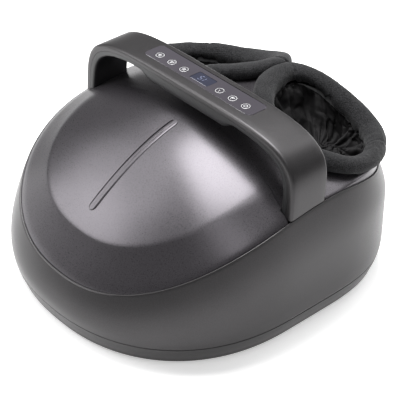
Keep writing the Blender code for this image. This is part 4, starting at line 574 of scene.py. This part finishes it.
def rear_deck():
    front_y = COVER_REAR_Y + DECK_GAP
    rim = seam_part(-(LIP_WIDTH + SEAM_GAP), front_y - COVER_BOW, front=False)
    width = abs(rim[0, 0])
    edge = [(width * k, front_y - COVER_BOW * k * k, front_y) for k in np.linspace(-1, 1, 60)[1:-1]]
    plan = np.array(list(rim) + edge)
    is_rim = np.array([True] * len(rim) + [False] * len(edge))
    rings = []
    for s in list(np.linspace(0, 1, 34)[1:-1]) + [0.985, 1.0]:
        x, y = plan[:, 0] * s, DECK_CENTRE_Y + (plan[:, 1] - DECK_CENTRE_Y) * s
        rings.append(np.column_stack([x, y, deck_z(x, y)]))
    low = np.where(is_rim, seam_z(plan[:, 2]) - LEDGE_DROP + SEAM_GAP, rings[-1][:, 2] - DECK_WALL)
    low_rim = np.column_stack([plan[:, 0], plan[:, 1], low])
    middle = np.array([0, DECK_CENTRE_Y, DECK_RIDGE_Z])
    deck = sheet_piece("deck", middle, rings, low_rim, DECK_WALL, True)
    hole = cuff_path(HOLE_INSET, 96)
    holes = [prism(hole * (side, 1), SEAM_TOE_Z, HANDLE_TOP_Z) for side in (1, -1)]
    cut(deck, holes + handle_notches(HANDLE_FRONT_Y - CUT_PAST), sharp=40)
    return deck


# Handle, panel, keys and display.


def arch(turn, half_width, top_z, depth_share, dip=0.0):
    """A point of the handle at one turn along its arch."""
    x = half_width * bent(np.cos(turn), HANDLE_POWER)
    y = HANDLE_FRONT_Y + HANDLE_DEPTH * depth_share
    foot = seam_z(y) + HANDLE_SEAT
    rise = np.abs(np.sin(turn)) ** (2 / HANDLE_POWER)
    z = foot + (top_z - foot) * rise
    z = z - dip * eased((POD_HALF_LENGTH + POD_BLEND - abs(x)) / POD_BLEND)
    return np.array([x, y + HANDLE_LEAN * rise, z])


def arch_turns(count):
    """Turns that divide the arch evenly along its length."""
    turn = np.linspace(0, math.pi, 6001)
    x = SEAM_HALF_WIDTH * bent(np.cos(turn), HANDLE_POWER)
    rise = np.abs(np.sin(turn)) ** (2 / HANDLE_POWER) * (HANDLE_TOP_Z - SEAM_PEAK_Z)
    run = np.concatenate([[0], np.cumsum(np.hypot(np.diff(x), np.diff(rise)))])
    return np.interp(np.linspace(0, run[-1], count), run, turn)


def handle_half(name, low, high, corner, level_share, dip):
    """A band along the arch. Its walls rise from the low curve and round over into the high one."""
    across = corner / HANDLE_DEPTH
    steps = np.linspace(0, math.pi / 2, 7)
    side = [(0.0, 0.0), (0.0, level_share * 0.5)]
    arc = [(across * (1 - math.cos(t)), level_share + (1 - level_share) * math.sin(t)) for t in steps]
    middle = [(s, 1.0) for s in np.linspace(across, 1 - across, 7)[1:-1]]
    back = [(1 - s, r) for s, r in (side + arc)[::-1]]
    under = [(s, 0.0) for s in np.linspace(1, 0, 6)[1:-1]]
    section = side + arc + middle + back + under
    rings = []
    for turn in arch_turns(120):
        rings.append(np.array([
            arch(turn, *(a + (b - a) * reach for a, b in zip(low, high)), depth, dip * reach)
            for depth, reach in section]))
    return make(name, *lofted(rings), sharp=32)


def handle_curve(side, top):
    """Half width and height of a curve along the arch, from the handle's outer face inwards."""
    return SEAM_HALF_WIDTH - side, HANDLE_TOP_Z - top


def handle_upper():
    upper = handle_half("handle_skin", handle_curve(SKIN_SIDE, SKIN_TOP), handle_curve(0, 0),
                        HANDLE_ROUND, SKIN_LEVEL, 0)
    pocket = rounded(0, PANEL_Y, grown(PANEL_SIZE, PANEL_GAP), PANEL_CORNER + PANEL_GAP)
    floor = PANEL_TOP_Z - PANEL_THICK - PANEL_GAP
    under = HANDLE_TOP_Z - SKIN_TOP - CUT_PAST / 2
    holes = [prism(circle(x, KEY_Y, KEY_R + KEY_FLANGE + KEY_ROOM), under, floor + CUT_PAST / 4)
             for x in KEY_PLACES.values()]
    cut(upper, [prism(pocket, floor, HANDLE_TOP_Z + CUT_PAST)] + holes, sharp=32)
    return upper


def handle_lower():
    split = handle_curve(SKIN_SIDE + SKIN_GAP, SKIN_TOP + SKIN_GAP)
    lower = handle_half("handle_liner", split, handle_curve(HANDLE_SIDE, HANDLE_TOP),
                        LINER_ROUND, LINER_LEVEL, POD_DROP)
    holes = []
    for name, x in KEY_PLACES.items():
        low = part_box("key_" + name)[0].z - KEY_TRAVEL - KEY_ROOM
        holes.append(prism(circle(x, KEY_Y, KEY_STEM_R + KEY_ROOM, 24), low,
                           HANDLE_TOP_Z - SKIN_TOP + CUT_PAST / 2))
    cut(lower, holes, sharp=32)
    return lower


def control_panel():
    bottom, past = PANEL_TOP_Z - PANEL_THICK, PANEL_TOP_Z + CUT_PAST
    plan = rounded(0, PANEL_Y, PANEL_SIZE, PANEL_CORNER)
    inset = rounded(0, PANEL_Y, grown(PANEL_SIZE, -PANEL_BEVEL), PANEL_CORNER - PANEL_BEVEL)
    panel = make("panel", *stack((plan, bottom), (plan, PANEL_TOP_Z - PANEL_BEVEL),
                                 (inset, PANEL_TOP_Z)))
    holes = [circle(x, KEY_Y, KEY_R + KEY_CLEARANCE) for x in KEY_PLACES.values()]
    holes.append(rounded(0, DISPLAY_Y, grown(DISPLAY_SIZE, PANEL_GAP), DISPLAY_CORNER + PANEL_GAP))
    cut(panel, [prism(hole, bottom - CUT_PAST, past) for hole in holes])
    return panel


def stroke(points, width, z, closed=False):
    """A flat printed line through points."""
    points = np.array(points, float)
    out = outward(points) if closed else unit(np.gradient(points, axis=0))[:, ::-1] * (1, -1)
    side = -out * width / 2
    rows = [level(points + side, z), level(points - side, z)]
    return lofted(rows, wrap=closed, caps=False)


def key_print(name, z):
    """The printed ring and the plain sign of one key, round the key's own middle."""
    lines, width, loops = [], SIGN_LINE, False
    if name == "power":
        lines = [arc(0.0023, 125, 415), [(0, 0.0008), (0, 0.0030)]]
    elif name == "mode":
        loops = True
        for x, y in arc(0.0017, 90, 330, steps=2):
            lines.append(circle(x, y, 0.0009, 16))
    elif name == "heat":
        ys = np.linspace(-0.0023, 0.0023, 14)
        lines = [np.column_stack([x + 0.0004 * np.sin(ys * 2700), ys]) for x in (-0.0015, 0, 0.0015)]
    elif name == "timer":
        lines = [[(0, 0.0026), (0, 0), (0.0018, -0.0010)]]
    elif name == "level":
        width = 0.0008
        for x, tall in ((-0.0015, 0.0016), (0, 0.0029), (0.0015, 0.0042)):
            lines.append([(x, -0.0021), (x, -0.0021 + tall)])
    else:
        for y, long in ((-0.0015, 0.0018), (0, 0.0026), (0.0015, 0.0020)):
            xs = np.linspace(-long, long, 14)
            lines.append(np.column_stack([xs, y + 0.00035 * np.sin(xs * 2400)]))
    ring = stroke(circle(0, 0, RING_R, 40), RING_LINE, z, closed=True)
    return merged([ring] + [stroke(line, width, z, closed=loops) for line in lines])


def key(name):
    x = KEY_PLACES[name]
    top = PANEL_TOP_Z + KEY_PROUD
    flange_top = PANEL_TOP_Z - PANEL_THICK - KEY_RETAIN
    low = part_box("key_" + name)[0].z
    profile = [(KEY_STEM_R, low), (KEY_STEM_R, flange_top - KEY_FLANGE_THICK),
               (KEY_R + KEY_FLANGE, flange_top - KEY_FLANGE_THICK), (KEY_R + KEY_FLANGE, flange_top),
               (KEY_R, flange_top), (KEY_R, top - 0.0003), (KEY_R - 0.0001, top - 0.0001),
               (KEY_R - 0.0003, top), (KEY_R * 0.8, top - 0.00003), (KEY_R * 0.4, top - 0.00008),
               (KEY_R * 0.05, top - 0.0001)]
    cap = make("button_" + name, *stack(*((circle(x, KEY_Y, r), z) for r, z in profile)),
               body=f"key_{name}_body")
    points, faces = key_print(name, top + PRINT_LIFT)
    sign = make("sign_" + name, (x, KEY_Y, 0) + np.array(points) * (-1, -1, 1), faces, sharp=0,
                body=f"key_{name}_body")
    edited(sign.data, face_up)
    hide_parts("key_" + name)
    return cap, sign


def display():
    low, top = PANEL_TOP_Z - PANEL_THICK, PANEL_TOP_Z - KEY_PROUD
    plan = rounded(0, DISPLAY_Y, DISPLAY_SIZE, DISPLAY_CORNER, 5)
    small = rounded(0, DISPLAY_Y, grown(DISPLAY_SIZE, -SCREEN_BEVEL), DISPLAY_CORNER - SCREEN_BEVEL, 5)
    window = make("screen", *stack((plan, low), (plan, top - SCREEN_BEVEL), (small, top)))
    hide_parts("display_window")
    tall, wide, thick, slant, apart = 0.0080, 0.0044, 0.0009, 0.10, 0.0042
    bars = {
        "a": ((0, 1), (1, 1)), "b": ((1, 1), (1, 0.5)), "c": ((1, 0.5), (1, 0)),
        "d": ((0, 0), (1, 0)), "f": ((0, 1), (0, 0.5)), "g": ((0, 0.5), (1, 0.5)),
    }
    made = []
    for place, lit in ((-1, "bc"), (1, "afgcd")):
        for bar in lit:
            ends = np.array([(place * apart + wide * (u - 0.5), tall * (v - 0.5)) for u, v in bars[bar]])
            ends += unit(ends[::-1] - ends) * thick * 0.62
            ends[:, 0] += ends[:, 1] * slant
            made.append(stroke((0, DISPLAY_Y) - ends, thick, top + PRINT_LIFT))
    digits = make("digits", *merged(made), sharp=0)
    edited(digits.data, face_up)
    return window, digits


# Cuffs and linings.


def cloth_run(piece, most, frames=20, pinned=None, pressure=0.0, slack=0.0, weight=0.0):
    """Lets a cloth settle, then keeps its shape, with no point moved further than the most allowed."""
    start = points_of(piece)
    step = piece.modifiers.new("Settle", "CLOTH")
    cloth = step.settings
    cloth.quality, cloth.mass, cloth.air_damping = 6, 0.15, 4.0
    cloth.tension_stiffness = cloth.compression_stiffness = cloth.shear_stiffness = 20.0
    cloth.bending_stiffness = 0.08
    cloth.shrink_min = -slack
    cloth.effector_weights.gravity = weight
    step.collision_settings.use_collision = False
    if pressure:
        cloth.use_pressure, cloth.uniform_pressure_force = True, pressure
    if pinned is not None:
        group = piece.vertex_groups.new(name="held")
        for index, hold in enumerate(pinned):
            if hold > 0:
                group.add([index], float(hold), "REPLACE")
        cloth.vertex_group_mass = "held"
    for number in range(1, frames + 1):
        scene.frame_set(number)
    apply_modifiers(piece)
    scene.frame_set(1)
    piece.vertex_groups.clear()
    moved = points_of(piece) - start
    far = np.linalg.norm(moved, axis=1)
    scale = np.where(far > 0, most * np.tanh(far / most) / np.maximum(far, 1e-9), 0)
    return start + moved * scale[:, None]


def points_of(piece, what="co"):
    values = np.empty(len(piece.data.vertices) * 3)
    piece.data.vertices.foreach_get(what, values)
    return values.reshape(-1, 3)


def set_points(piece, points):
    piece.data.vertices.foreach_set("co", np.asarray(points, np.float32).ravel())
    piece.data.update()


def refined(piece):
    step = piece.modifiers.new("Fine", "SUBSURF")
    step.levels = step.render_levels = 1
    apply_modifiers(piece)
    piece.data.shade_smooth()


def cuff_frame(steps):
    """The cuff's path, its outward directions and the deck's height under it."""
    path = cuff_path(0, steps)
    return path, outward(path), deck_z(path[:, 0], path[:, 1])


def cuff_points():
    """The ring before it is filled, fuller on its inner side, which rolls down into the opening."""
    steps, around = CUFF_GRID
    path, out, base = cuff_frame(steps)
    turn = full_turn(steps)
    crown = CUFF_PAD_R * (1 + CUFF_UNEVEN * np.cos(3 * turn + 1)) - CUFF_START_IN
    rings = []
    for k in range(around):
        angle = 2 * math.pi * k / around
        inward = max(-math.cos(angle), 0)
        reach = crown * math.cos(angle) * (1 + CUFF_INNER_SWELL * inward)
        fall = 1 + CUFF_INNER_FALL * inward if math.sin(angle) < 0 else 1
        height = base + CUFF_LIFT + crown * math.sin(angle) * fall
        x = np.maximum(path[:, 0] + out[:, 0] * reach, 3 * CUFF_HALF_GAP)
        y = path[:, 1] + out[:, 1] * reach
        outer = path + out * np.maximum(reach, -HOLE_INSET)[:, None]
        seat = deck_z(outer[:, 0], outer[:, 1]) + CUFF_SEAT
        inside = eased((-reach - CUFF_LIP) / CUFF_LIP_BLEND)
        height = np.where(height < seat, seat * (1 - inside) + height * inside, height)
        rings.append(np.column_stack([x, y, height]))
    return lofted(rings, loop=True)


def lumps(point, sizes):
    return sum(noise.noise(Vector(point) * scale) * size for scale, size in sizes)


def sewn(points):
    """Draws the cuff in along its sewn seams and adds the small folds beside them."""
    path, out, base = cuff_frame(1440)
    near = np.empty(len(points), int)
    for k in range(0, len(points), 2000):
        some = points[k:k + 2000, None, :2] - path[None]
        near[k:k + 2000] = np.argmin((some**2).sum(axis=2), axis=1)
    spoke = points - np.column_stack([path[near], base[near] + CUFF_LIFT * 0.7])
    length = np.maximum(np.linalg.norm(spoke, axis=1), 1e-6)
    inner = (spoke[:, :2] * out[near]).sum(axis=1) / length
    draw = np.zeros(len(points))
    for seam, depth in CUFF_SEAMS:
        away = (near / len(path) - seam + 0.5) % 1 - 0.5
        away = away * CUFF_ROUND + CUFF_SEAM_SLANT * inner * np.sign(seam - 0.5)
        draw += depth * np.exp(-(away / CUFF_SEAM_WIDTH) ** 2)
        folds = np.sin(away * CUFF_FOLDS_PER_M + 2.2 * inner) * np.exp(-(away / CUFF_FOLD_REACH) ** 2)
        draw += CUFF_FOLD * folds * np.clip(-inner + 0.3, 0, 1)
    draw -= [lumps(point, CUFF_LUMPS) for point in points]
    return points - spoke / length[:, None] * draw[:, None]


def cuffs():
    pad = make("cuff_pad_right", *cuff_points(), sharp=0)
    step = pad.modifiers.new("Cloth grid", "REMESH")
    step.mode, step.voxel_size, step.use_smooth_shade = "VOXEL", CUFF_VOXEL, True
    apply_modifiers(pad)
    set_points(pad, cloth_run(pad, CUFF_MOST, pressure=4.0, slack=0.03))
    refined(pad)
    points = sewn(points_of(pad))
    points[:, 0] = np.maximum(points[:, 0], CUFF_HALF_GAP)
    set_points(pad, points)
    other = make("cuff_pad_left", points * (-1, 1, 1),
                 [tuple(face.vertices) for face in pad.data.polygons], sharp=0)
    pad.data.shade_smooth()
    for piece, name in ((pad, "right"), (other, "left")):
        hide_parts("cuff_" + name)
    return pad, other


def lining_rings():
    """The gathered cloth before it settles: from its edge inside the cuff down to the throat."""
    turn = full_turn(LINING_ROUND)
    dense = cuff_path(LINING_INSET, 1440) - (CUFF_X, CUFF_Y)
    at = np.arctan2(dense[:, 1], dense[:, 0])
    order = np.argsort(at)
    r = np.interp(turn, at[order], np.hypot(*dense.T)[order], period=2 * math.pi)
    plan = np.column_stack([CUFF_X + r * np.cos(turn), CUFF_Y + r * np.sin(turn)])
    line = cuff_path(0, 720)
    near = np.argmin(np.hypot(line[:, 0] - plan[:, :1], line[:, 1] - plan[:, 1:]), axis=1)
    mouth = level(plan, deck_z(line[near, 0], line[near, 1]) - LINING_START_DROP)
    throat = oval(THROAT, THROAT_SIZE, turn)
    rings = []
    for k in range(LINING_ROWS + 1):
        u = k / LINING_ROWS
        inward = 0.16 * u + 0.84 * u**2.2
        ring = mouth * (1 - inward) + throat * inward
        sag = math.sin(math.pi * u) ** 0.9
        ring[:, 2] = mouth[:, 2] * (1 - u) + throat[:, 2] * u - LINING_SAG * sag
        wave = np.zeros(LINING_ROUND)
        for count, phase, drift, size in LINING_FOLDS:
            wave += size * np.sin(count * turn + phase + drift * u)
        ring[:, 2] += wave * sag
        rings.append(ring)
    return rings, throat, turn


def linings():
    rings, throat, turn = lining_rings()
    points, faces = lofted(rings, caps=False)
    cloth = make("lining_cloth_right", points, faces, sharp=0)
    held = np.zeros(len(points))
    held[:2 * LINING_ROUND], held[-LINING_ROUND:] = 1, 1
    moved = cloth_run(cloth, LINING_MOST, frames=24, pinned=held, slack=LINING_SLACK, weight=0.1)
    set_points(cloth, moved)
    settled = points_of(cloth)
    toe = oval(LINING_TOE, LINING_TOE_SIZE, turn)
    sock = [throat + (toe - throat) * k / SOCK_ROWS for k in range(1, SOCK_ROWS + 1)]
    points, faces = lofted([*settled.reshape(-1, LINING_ROUND, 3), *sock], caps=False)
    bpy.data.objects.remove(cloth)
    made = []
    for name, side in (("right", 1), ("left", -1)):
        piece = make("lining_cloth_" + name, points * (side, 1, 1), faces, sharp=0)
        refined(piece)
        creased(piece, side)
        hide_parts("lining_" + name)
        made.append(piece)
    return made


def creased(piece, side):
    """Sharp creases, as crushed nylon has, and pleats towards the throat, along the cloth's normals."""
    points, normals = points_of(piece), points_of(piece, "normal")
    crease = np.empty(len(points))
    for index, point in enumerate(points):
        at = Vector(point)
        fine = sum(abs(noise.noise(at * scale + Vector((*shift, side)))) * depth
                   for scale, shift, depth in CREASES)
        turn = math.atan2(point[1] - CUFF_Y, side * point[0] - CUFF_X)
        pleat = 1 - abs(math.sin(PLEATS * turn / 2 + lumps(point, PLEAT_LEANS) + side))
        patch = eased(0.5 + PLEAT_PATCH * noise.noise(at * PLEAT_PATCH_SCALE + Vector((0, 0, 9))))
        crease[index] = fine + pleat**1.5 * patch * PLEAT_DEPTH
    set_points(piece, inside_well(points + normals * (crease - CREASE_BASE)[:, None], side))


def inside_well(points, side):
    """Keeps the cloth off the wall of the foot well, towards the middle of the opening."""
    well = frame["nodes"]["foot_well_right" if side > 0 else "foot_well_left"]
    kept = points.copy()
    for index, point in enumerate(points):
        middle = Vector((side * CUFF_X, CUFF_Y, point[2]))
        spoke = Vector(point) - middle
        if point[2] < WELL_LOW_Z or spoke.length < 0.002:
            continue
        way = spoke.normalized()
        met, where = well.ray_cast(middle, way)[:2]
        room = (where - middle).length - WELL_CLEAR
        if met and spoke.length > room:
            kept[index] = middle + way * room
    return kept


def airbag(name):
    """A welded bag: flat where it lies on the lining, crowned above, with two welded spots."""
    low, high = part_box("airbag_" + name)
    middle, half = (low + high) / 2, (high - low) / 2
    turn = full_turn(120)
    across, along = bent(np.cos(turn), BAG_POWER), bent(np.sin(turn), BAG_POWER)
    climb = (high.z - low.z - BAG_THICK) / (high.y - low.y)
    under, over = (0.4 * BAG_THICK + side * BAG_SEAM_THICK / 2 for side in (-1, 1))
    shares = [*np.linspace(0.04, BAG_SEAM, 22), 0.965, 1.0]
    rings = []
    for k, u in enumerate(shares + shares[::-1]):
        x, y = middle.x + half.x * u * across, middle.y + half.y * u * along
        body = np.clip(1 - (u / BAG_SEAM) ** 2.8, 0, 1) ** 0.55
        rise = BAG_PUCKER * np.sin(30 * turn) * math.exp(-((u - 0.88) / 0.09) ** 2)
        if k < len(shares):
            rise = under * (1 - body) + rise / 2 + BAG_LIFT
        else:
            rise += over + (BAG_THICK - over) * body
            for place in BAG_WELDS:
                away = np.hypot(x - middle.x, y - middle.y - half.y * place)
                rise -= BAG_THICK / 2 * np.exp(-((away / BAG_WELD_R) ** 2)) * body
        rings.append(np.column_stack([x, y, low.z + climb * (y - low.y) + rise]))
    bag = make("airbag_pillow_" + name, *lofted(rings), sharp=0)
    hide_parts("airbag_" + name)
    return bag


# Finishes.


class Wire:
    """A value in a finish. Sums, differences and products add the nodes that work them out."""

    def __init__(self, finish, socket):
        self.finish, self.socket = finish, socket

    def maths(self, operation, *values, clamp=False):
        return self.finish.node("ShaderNodeMath", {"operation": operation, "use_clamp": clamp},
                                dict(enumerate(values)))

    def __add__(self, other):
        return self.maths("ADD", self, other)

    def __sub__(self, other):
        return self.maths("SUBTRACT", self, other)

    def __mul__(self, other):
        return self.maths("MULTIPLY", self, other)

    __radd__ = __add__

    def held(self):
        """The value kept between 0 and 1."""
        return self.maths("ADD", self, 0.0, clamp=True)


class Finish:
    """One material and the nodes of its shader."""

    def __init__(self, name, **shader):
        self.material = bpy.data.materials.new(name)
        self.material.use_nodes = True
        self.tree = self.material.node_tree
        self.shader = self.tree.nodes["Principled BSDF"]
        for socket, value in shader.items():
            self.set(socket.replace("_", " "), value)

    def node(self, kind, settings=None, sockets=None, out=0):
        made = self.tree.nodes.new(kind)
        for name, value in (settings or {}).items():
            setattr(made, name, value)
        for name, value in (sockets or {}).items():
            self.plug(made.inputs[name], value)
        return Wire(self, made.outputs[out])

    def plug(self, socket, value):
        if isinstance(value, Wire):
            self.tree.links.new(value.socket, socket)
        else:
            socket.default_value = value

    def set(self, name, value):
        self.plug(self.shader.inputs[name], value)

    def place(self, scale=(1, 1, 1)):
        """Where on the piece a point lies, in metres times a scale."""
        at = self.node("ShaderNodeTexCoord", out="Object")
        return self.node("ShaderNodeMapping", {}, {"Vector": at, "Scale": scale})

    def grain(self, scale, detail=2.0, rough=0.5, at=None, warp=0.0):
        return self.node("ShaderNodeTexNoise", {}, {
            "Vector": at or self.place(), "Scale": scale, "Detail": detail, "Roughness": rough,
            "Distortion": warp})

    def blend(self, share, one, two):
        """A colour between two others."""
        return self.node("ShaderNodeMix", {"data_type": "RGBA"},
                         {"Factor": share, 6: (*one, 1), 7: (*two, 1)}, out=2)

    def tone(self, share, one, two):
        self.set("Base Color", self.blend(share, one, two))

    def rough(self, middle, grain, swing):
        self.set("Roughness", middle + (grain - 0.5) * swing)

    def relief(self, height, strength, distance):
        self.set("Normal", self.node("ShaderNodeBump", {}, {
            "Strength": strength, "Distance": distance, "Height": height}))


def metallic_paint(name, dark, light, roughness=0.40, metallic=0.75):
    """Satin paint with a fine metal flake and a slight cloudiness."""
    f = Finish(name, Coat_Weight=0.15, Coat_Roughness=0.35)
    cloud = f.grain(18.0, 3.0)
    fleck = f.grain(900.0, 2.0, 0.7)
    f.tone((cloud * 0.3 + (fleck - 0.5) * 1.7 + 0.35).held(), dark, light)
    f.rough(roughness, fleck, 0.35)
    f.set("Metallic", (metallic + (fleck - 0.5) * 0.5).held())
    f.relief(f.grain(1300.0, 2.0), 0.16, 0.0001)
    return f.material


def plain_plastic(name, dark, light, roughness=0.45, grain=900.0, depth=0.00005, **more):
    f = Finish(name, **more)
    cloud = f.grain(30.0, 3.0)
    fine = f.grain(grain, 3.0)
    f.tone(cloud, dark, light)
    f.rough(roughness, fine, 0.12)
    f.relief(fine, 0.25, depth)
    return f.material


def knitted(name):
    """Charcoal melange knit: light flecks in dark yarn, stitch rows and a soft nap."""
    f = Finish(name, Sheen_Weight=0.10, Sheen_Roughness=0.5, Specular_IOR_Level=0.1)
    fleck = f.grain(760.0, 3.0, 0.7)
    cloud = f.grain(38.0, 3.0)
    mix = (fleck * 3.4 + cloud * 0.5 - 1.55).held()
    f.tone(mix, (0.0045, 0.0045, 0.005), (0.036, 0.036, 0.038))
    f.rough(0.88, fleck, 0.15)
    rows = f.node("ShaderNodeTexWave", {"bands_direction": "Z", "wave_profile": "SIN"},
                  {"Vector": f.place(), "Scale": 180.0, "Distortion": 1.5, "Detail": 2.0}, out="Fac")
    f.relief(rows * 0.4 + f.grain(1000.0, 3.0), 0.6, 0.0005)
    return f.material


def nylon(name):
    """Thin black nylon: a dull woven face with soft crinkles. Its colour is painted lighter on the
    raised crinkles and darker in their hollows, a painted highlight and painted shade, over the weave's
    own fine grain.
    """
    f = Finish(name, Specular_IOR_Level=0.15)
    crush = f.grain(110.0, 4.0, 0.6, warp=0.6)
    weave = f.grain(1500.0, 2.0)
    # Painted highlight and shade: the colour follows the same crinkle noise as the relief, lighter on
    # the crests and darker in the hollows; the weave share is the cloth's own grain.
    share = (crush * 0.6 + weave * 0.4).held()
    f.tone(share, (0.002, 0.002, 0.0022), (0.020, 0.019, 0.020))
    f.rough(0.72, crush, 0.2)
    f.relief(crush + weave * 0.15, 0.30, 0.0008)
    return f.material


def glossy(name, dark, light, roughness=0.14):
    f = Finish(name, Coat_Weight=0.6, Coat_Roughness=0.08)
    cloud = f.grain(40.0, 2.0)
    f.tone(cloud, dark, light)
    f.rough(roughness, f.grain(300.0, 3.0), 0.05)
    f.set("Metallic", 0.25)
    return f.material


def print_ink(name, colour, glow=0.0):
    f = Finish(name, Emission_Strength=glow)
    fine = f.grain(1800.0, 2.0)
    tone = f.blend(fine, colour, tuple(0.8 * c for c in colour))
    f.set("Base Color", tone)
    f.rough(0.5, fine, 0.2)
    if glow:
        f.set("Emission Color", tone)
    return f.material


def brushed_steel(name):
    f = Finish(name, Metallic=1.0)
    lines = f.grain(60.0, 3.0, at=f.place((1, 1, 30)))
    f.tone(lines, (0.42, 0.42, 0.41), (0.62, 0.62, 0.60))
    f.set("Roughness", 0.28 + lines * 0.2)
    f.relief(lines, 0.2, 0.00005)
    return f.material


def paint(piece, material):
    piece.data.materials.clear()
    piece.data.materials.append(material)


def repaint(piece, material):
    """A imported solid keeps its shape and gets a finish."""
    for place in piece.material_slots:
        place.link = "OBJECT"
        place.material = material


# Studio.


def camera():
    data = bpy.data.cameras.new("camera")
    data.lens, data.sensor_width, data.sensor_fit = CAMERA_LENS, 36, "HORIZONTAL"
    data.shift_x, data.shift_y = CAMERA_SHIFT
    data.clip_end = 80
    scene.camera = placed("camera", data)
    rows = zip(CAMERA_RIGHT, CAMERA_UP, CAMERA_BACK, CAMERA_AT)
    scene.camera.matrix_world = Matrix([*rows, (0, 0, 0, 1)])


def studio():
    floor = make("floor", *prism(rounded(0, 0, FLOOR_SIZE, FLOOR_CORNER), -0.02, 0), body=None)
    f = Finish("pale_floor", Roughness=0.9, Emission_Strength=FLOOR_GLOW)
    tone = f.blend(f.grain(3.0, 2.0), (0.90, 0.90, 0.90), (0.93, 0.93, 0.93))
    f.set("Base Color", tone)
    f.set("Emission Color", tone)
    floor.data.materials.append(f.material)
    world = scene.world = scene.world or bpy.data.worlds.new("studio")
    world.use_nodes = True
    sky = world.node_tree.nodes["Background"].inputs
    sky["Color"].default_value, sky["Strength"].default_value = (1, 1, 1, 1), WORLD_LIGHT
    for name, azimuth, height, size, power in SOFTBOXES:
        turn, rise = math.radians(azimuth), math.radians(height)
        way = Vector((math.cos(turn) * math.cos(rise), math.sin(turn) * math.cos(rise), math.sin(rise)))
        data = bpy.data.lights.new(name, "AREA")
        data.shape, data.size, data.size_y, data.energy = "RECTANGLE", size[0], size[1], power
        lamp = placed(name, data)
        lamp.location = way * SOFTBOX_REACH
        lamp.rotation_euler = (Vector(SOFTBOX_AIM) - lamp.location).to_track_quat("-Z", "Y").to_euler()
    scene.view_settings.view_transform = "Standard"


def grey(tone):
    return (tone,) * 3


def main():
    camera()
    studio()
    shell_paint = metallic_paint("shell_paint", (0.022, 0.021, 0.022), (0.058, 0.055, 0.057))
    cover_paint = metallic_paint("cover_paint", (0.030, 0.028, 0.031), (0.090, 0.083, 0.093), 0.32)
    liner_black = plain_plastic("liner_black", (0.008, 0.008, 0.009), (0.014, 0.014, 0.015))
    panel_gloss = glossy("panel_gloss", (0.050, 0.045, 0.056), (0.062, 0.056, 0.068))
    key_gloss = glossy("key_gloss", (0.046, 0.042, 0.052), (0.060, 0.055, 0.066))
    screen_gloss = glossy("screen_gloss", (0.020, 0.022, 0.040), (0.028, 0.031, 0.055), 0.12)
    white_print = print_ink("white_print", (0.75, 0.75, 0.76))
    digit_glow = print_ink("digit_glow", (0.11, 0.125, 0.20), 0.12)
    knit, cloth = knitted("cuff_knit"), nylon("lining_nylon")
    bag_film = plain_plastic("bag_film", (0.26, 0.26, 0.27), (0.34, 0.34, 0.35), 0.35, 120.0, 0.0004)

    for node, build, finish, slot in (
        ("lower_shell", lower_shell, shell_paint, "shell_grey"),
        ("base_tray", base_tray, shell_paint, "shell_grey"),
        ("front_cover", front_cover, cover_paint, "cover_grey"),
        ("cover_strip", cover_strip, cover_paint, "cover_grey"),
        ("rear_deck", rear_deck, cover_paint, "cover_grey"),
        ("handle_upper", handle_upper, shell_paint, "shell_grey"),
        ("handle_lower", handle_lower, liner_black, "black_plastic"),
        ("control_panel", control_panel, panel_gloss, "panel_gloss"),
    ):
        piece = build()
        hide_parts(node)
        paint(piece, finish)
    window, digits = display()
    paint(window, screen_gloss)
    paint(digits, digit_glow)
    for name in KEY_PLACES:
        cap, sign = key(name)
        paint(cap, key_gloss)
        paint(sign, white_print)
    for pad in cuffs():
        paint(pad, knit)
    for piece in linings():
        paint(piece, cloth)
    for name in ("right", "left"):
        paint(airbag(name), bag_film)

    finishes = {
        "well_grey": plain_plastic("well_plastic", (0.16, 0.16, 0.165), (0.20, 0.20, 0.205)),
        "gear_white": plain_plastic("gear_acetal", (0.70, 0.69, 0.64), (0.78, 0.77, 0.73), 0.4),
        "bare_steel": brushed_steel("bare_steel"),
        "foot_rubber": plain_plastic("foot_rubber", grey(0.010), grey(0.022), 0.85, 400.0),
        "circuit_green": plain_plastic("circuit_board", (0.012, 0.090, 0.035),
                                       (0.020, 0.130, 0.055), 0.4),
        "heater_film": plain_plastic("heater_film", (0.42, 0.15, 0.05), (0.55, 0.21, 0.07), 0.5, 200.0),
        "black_plastic": liner_black,
        "shell_grey": shell_paint, "cover_grey": cover_paint,
    }
    slots = {part["node"]: part["material_slot"] for part in frame["record"]["subparts"]}
    for node, piece in frame["nodes"].items():
        if not piece.hide_render:
            repaint(piece, finishes[slots[node]])


main()
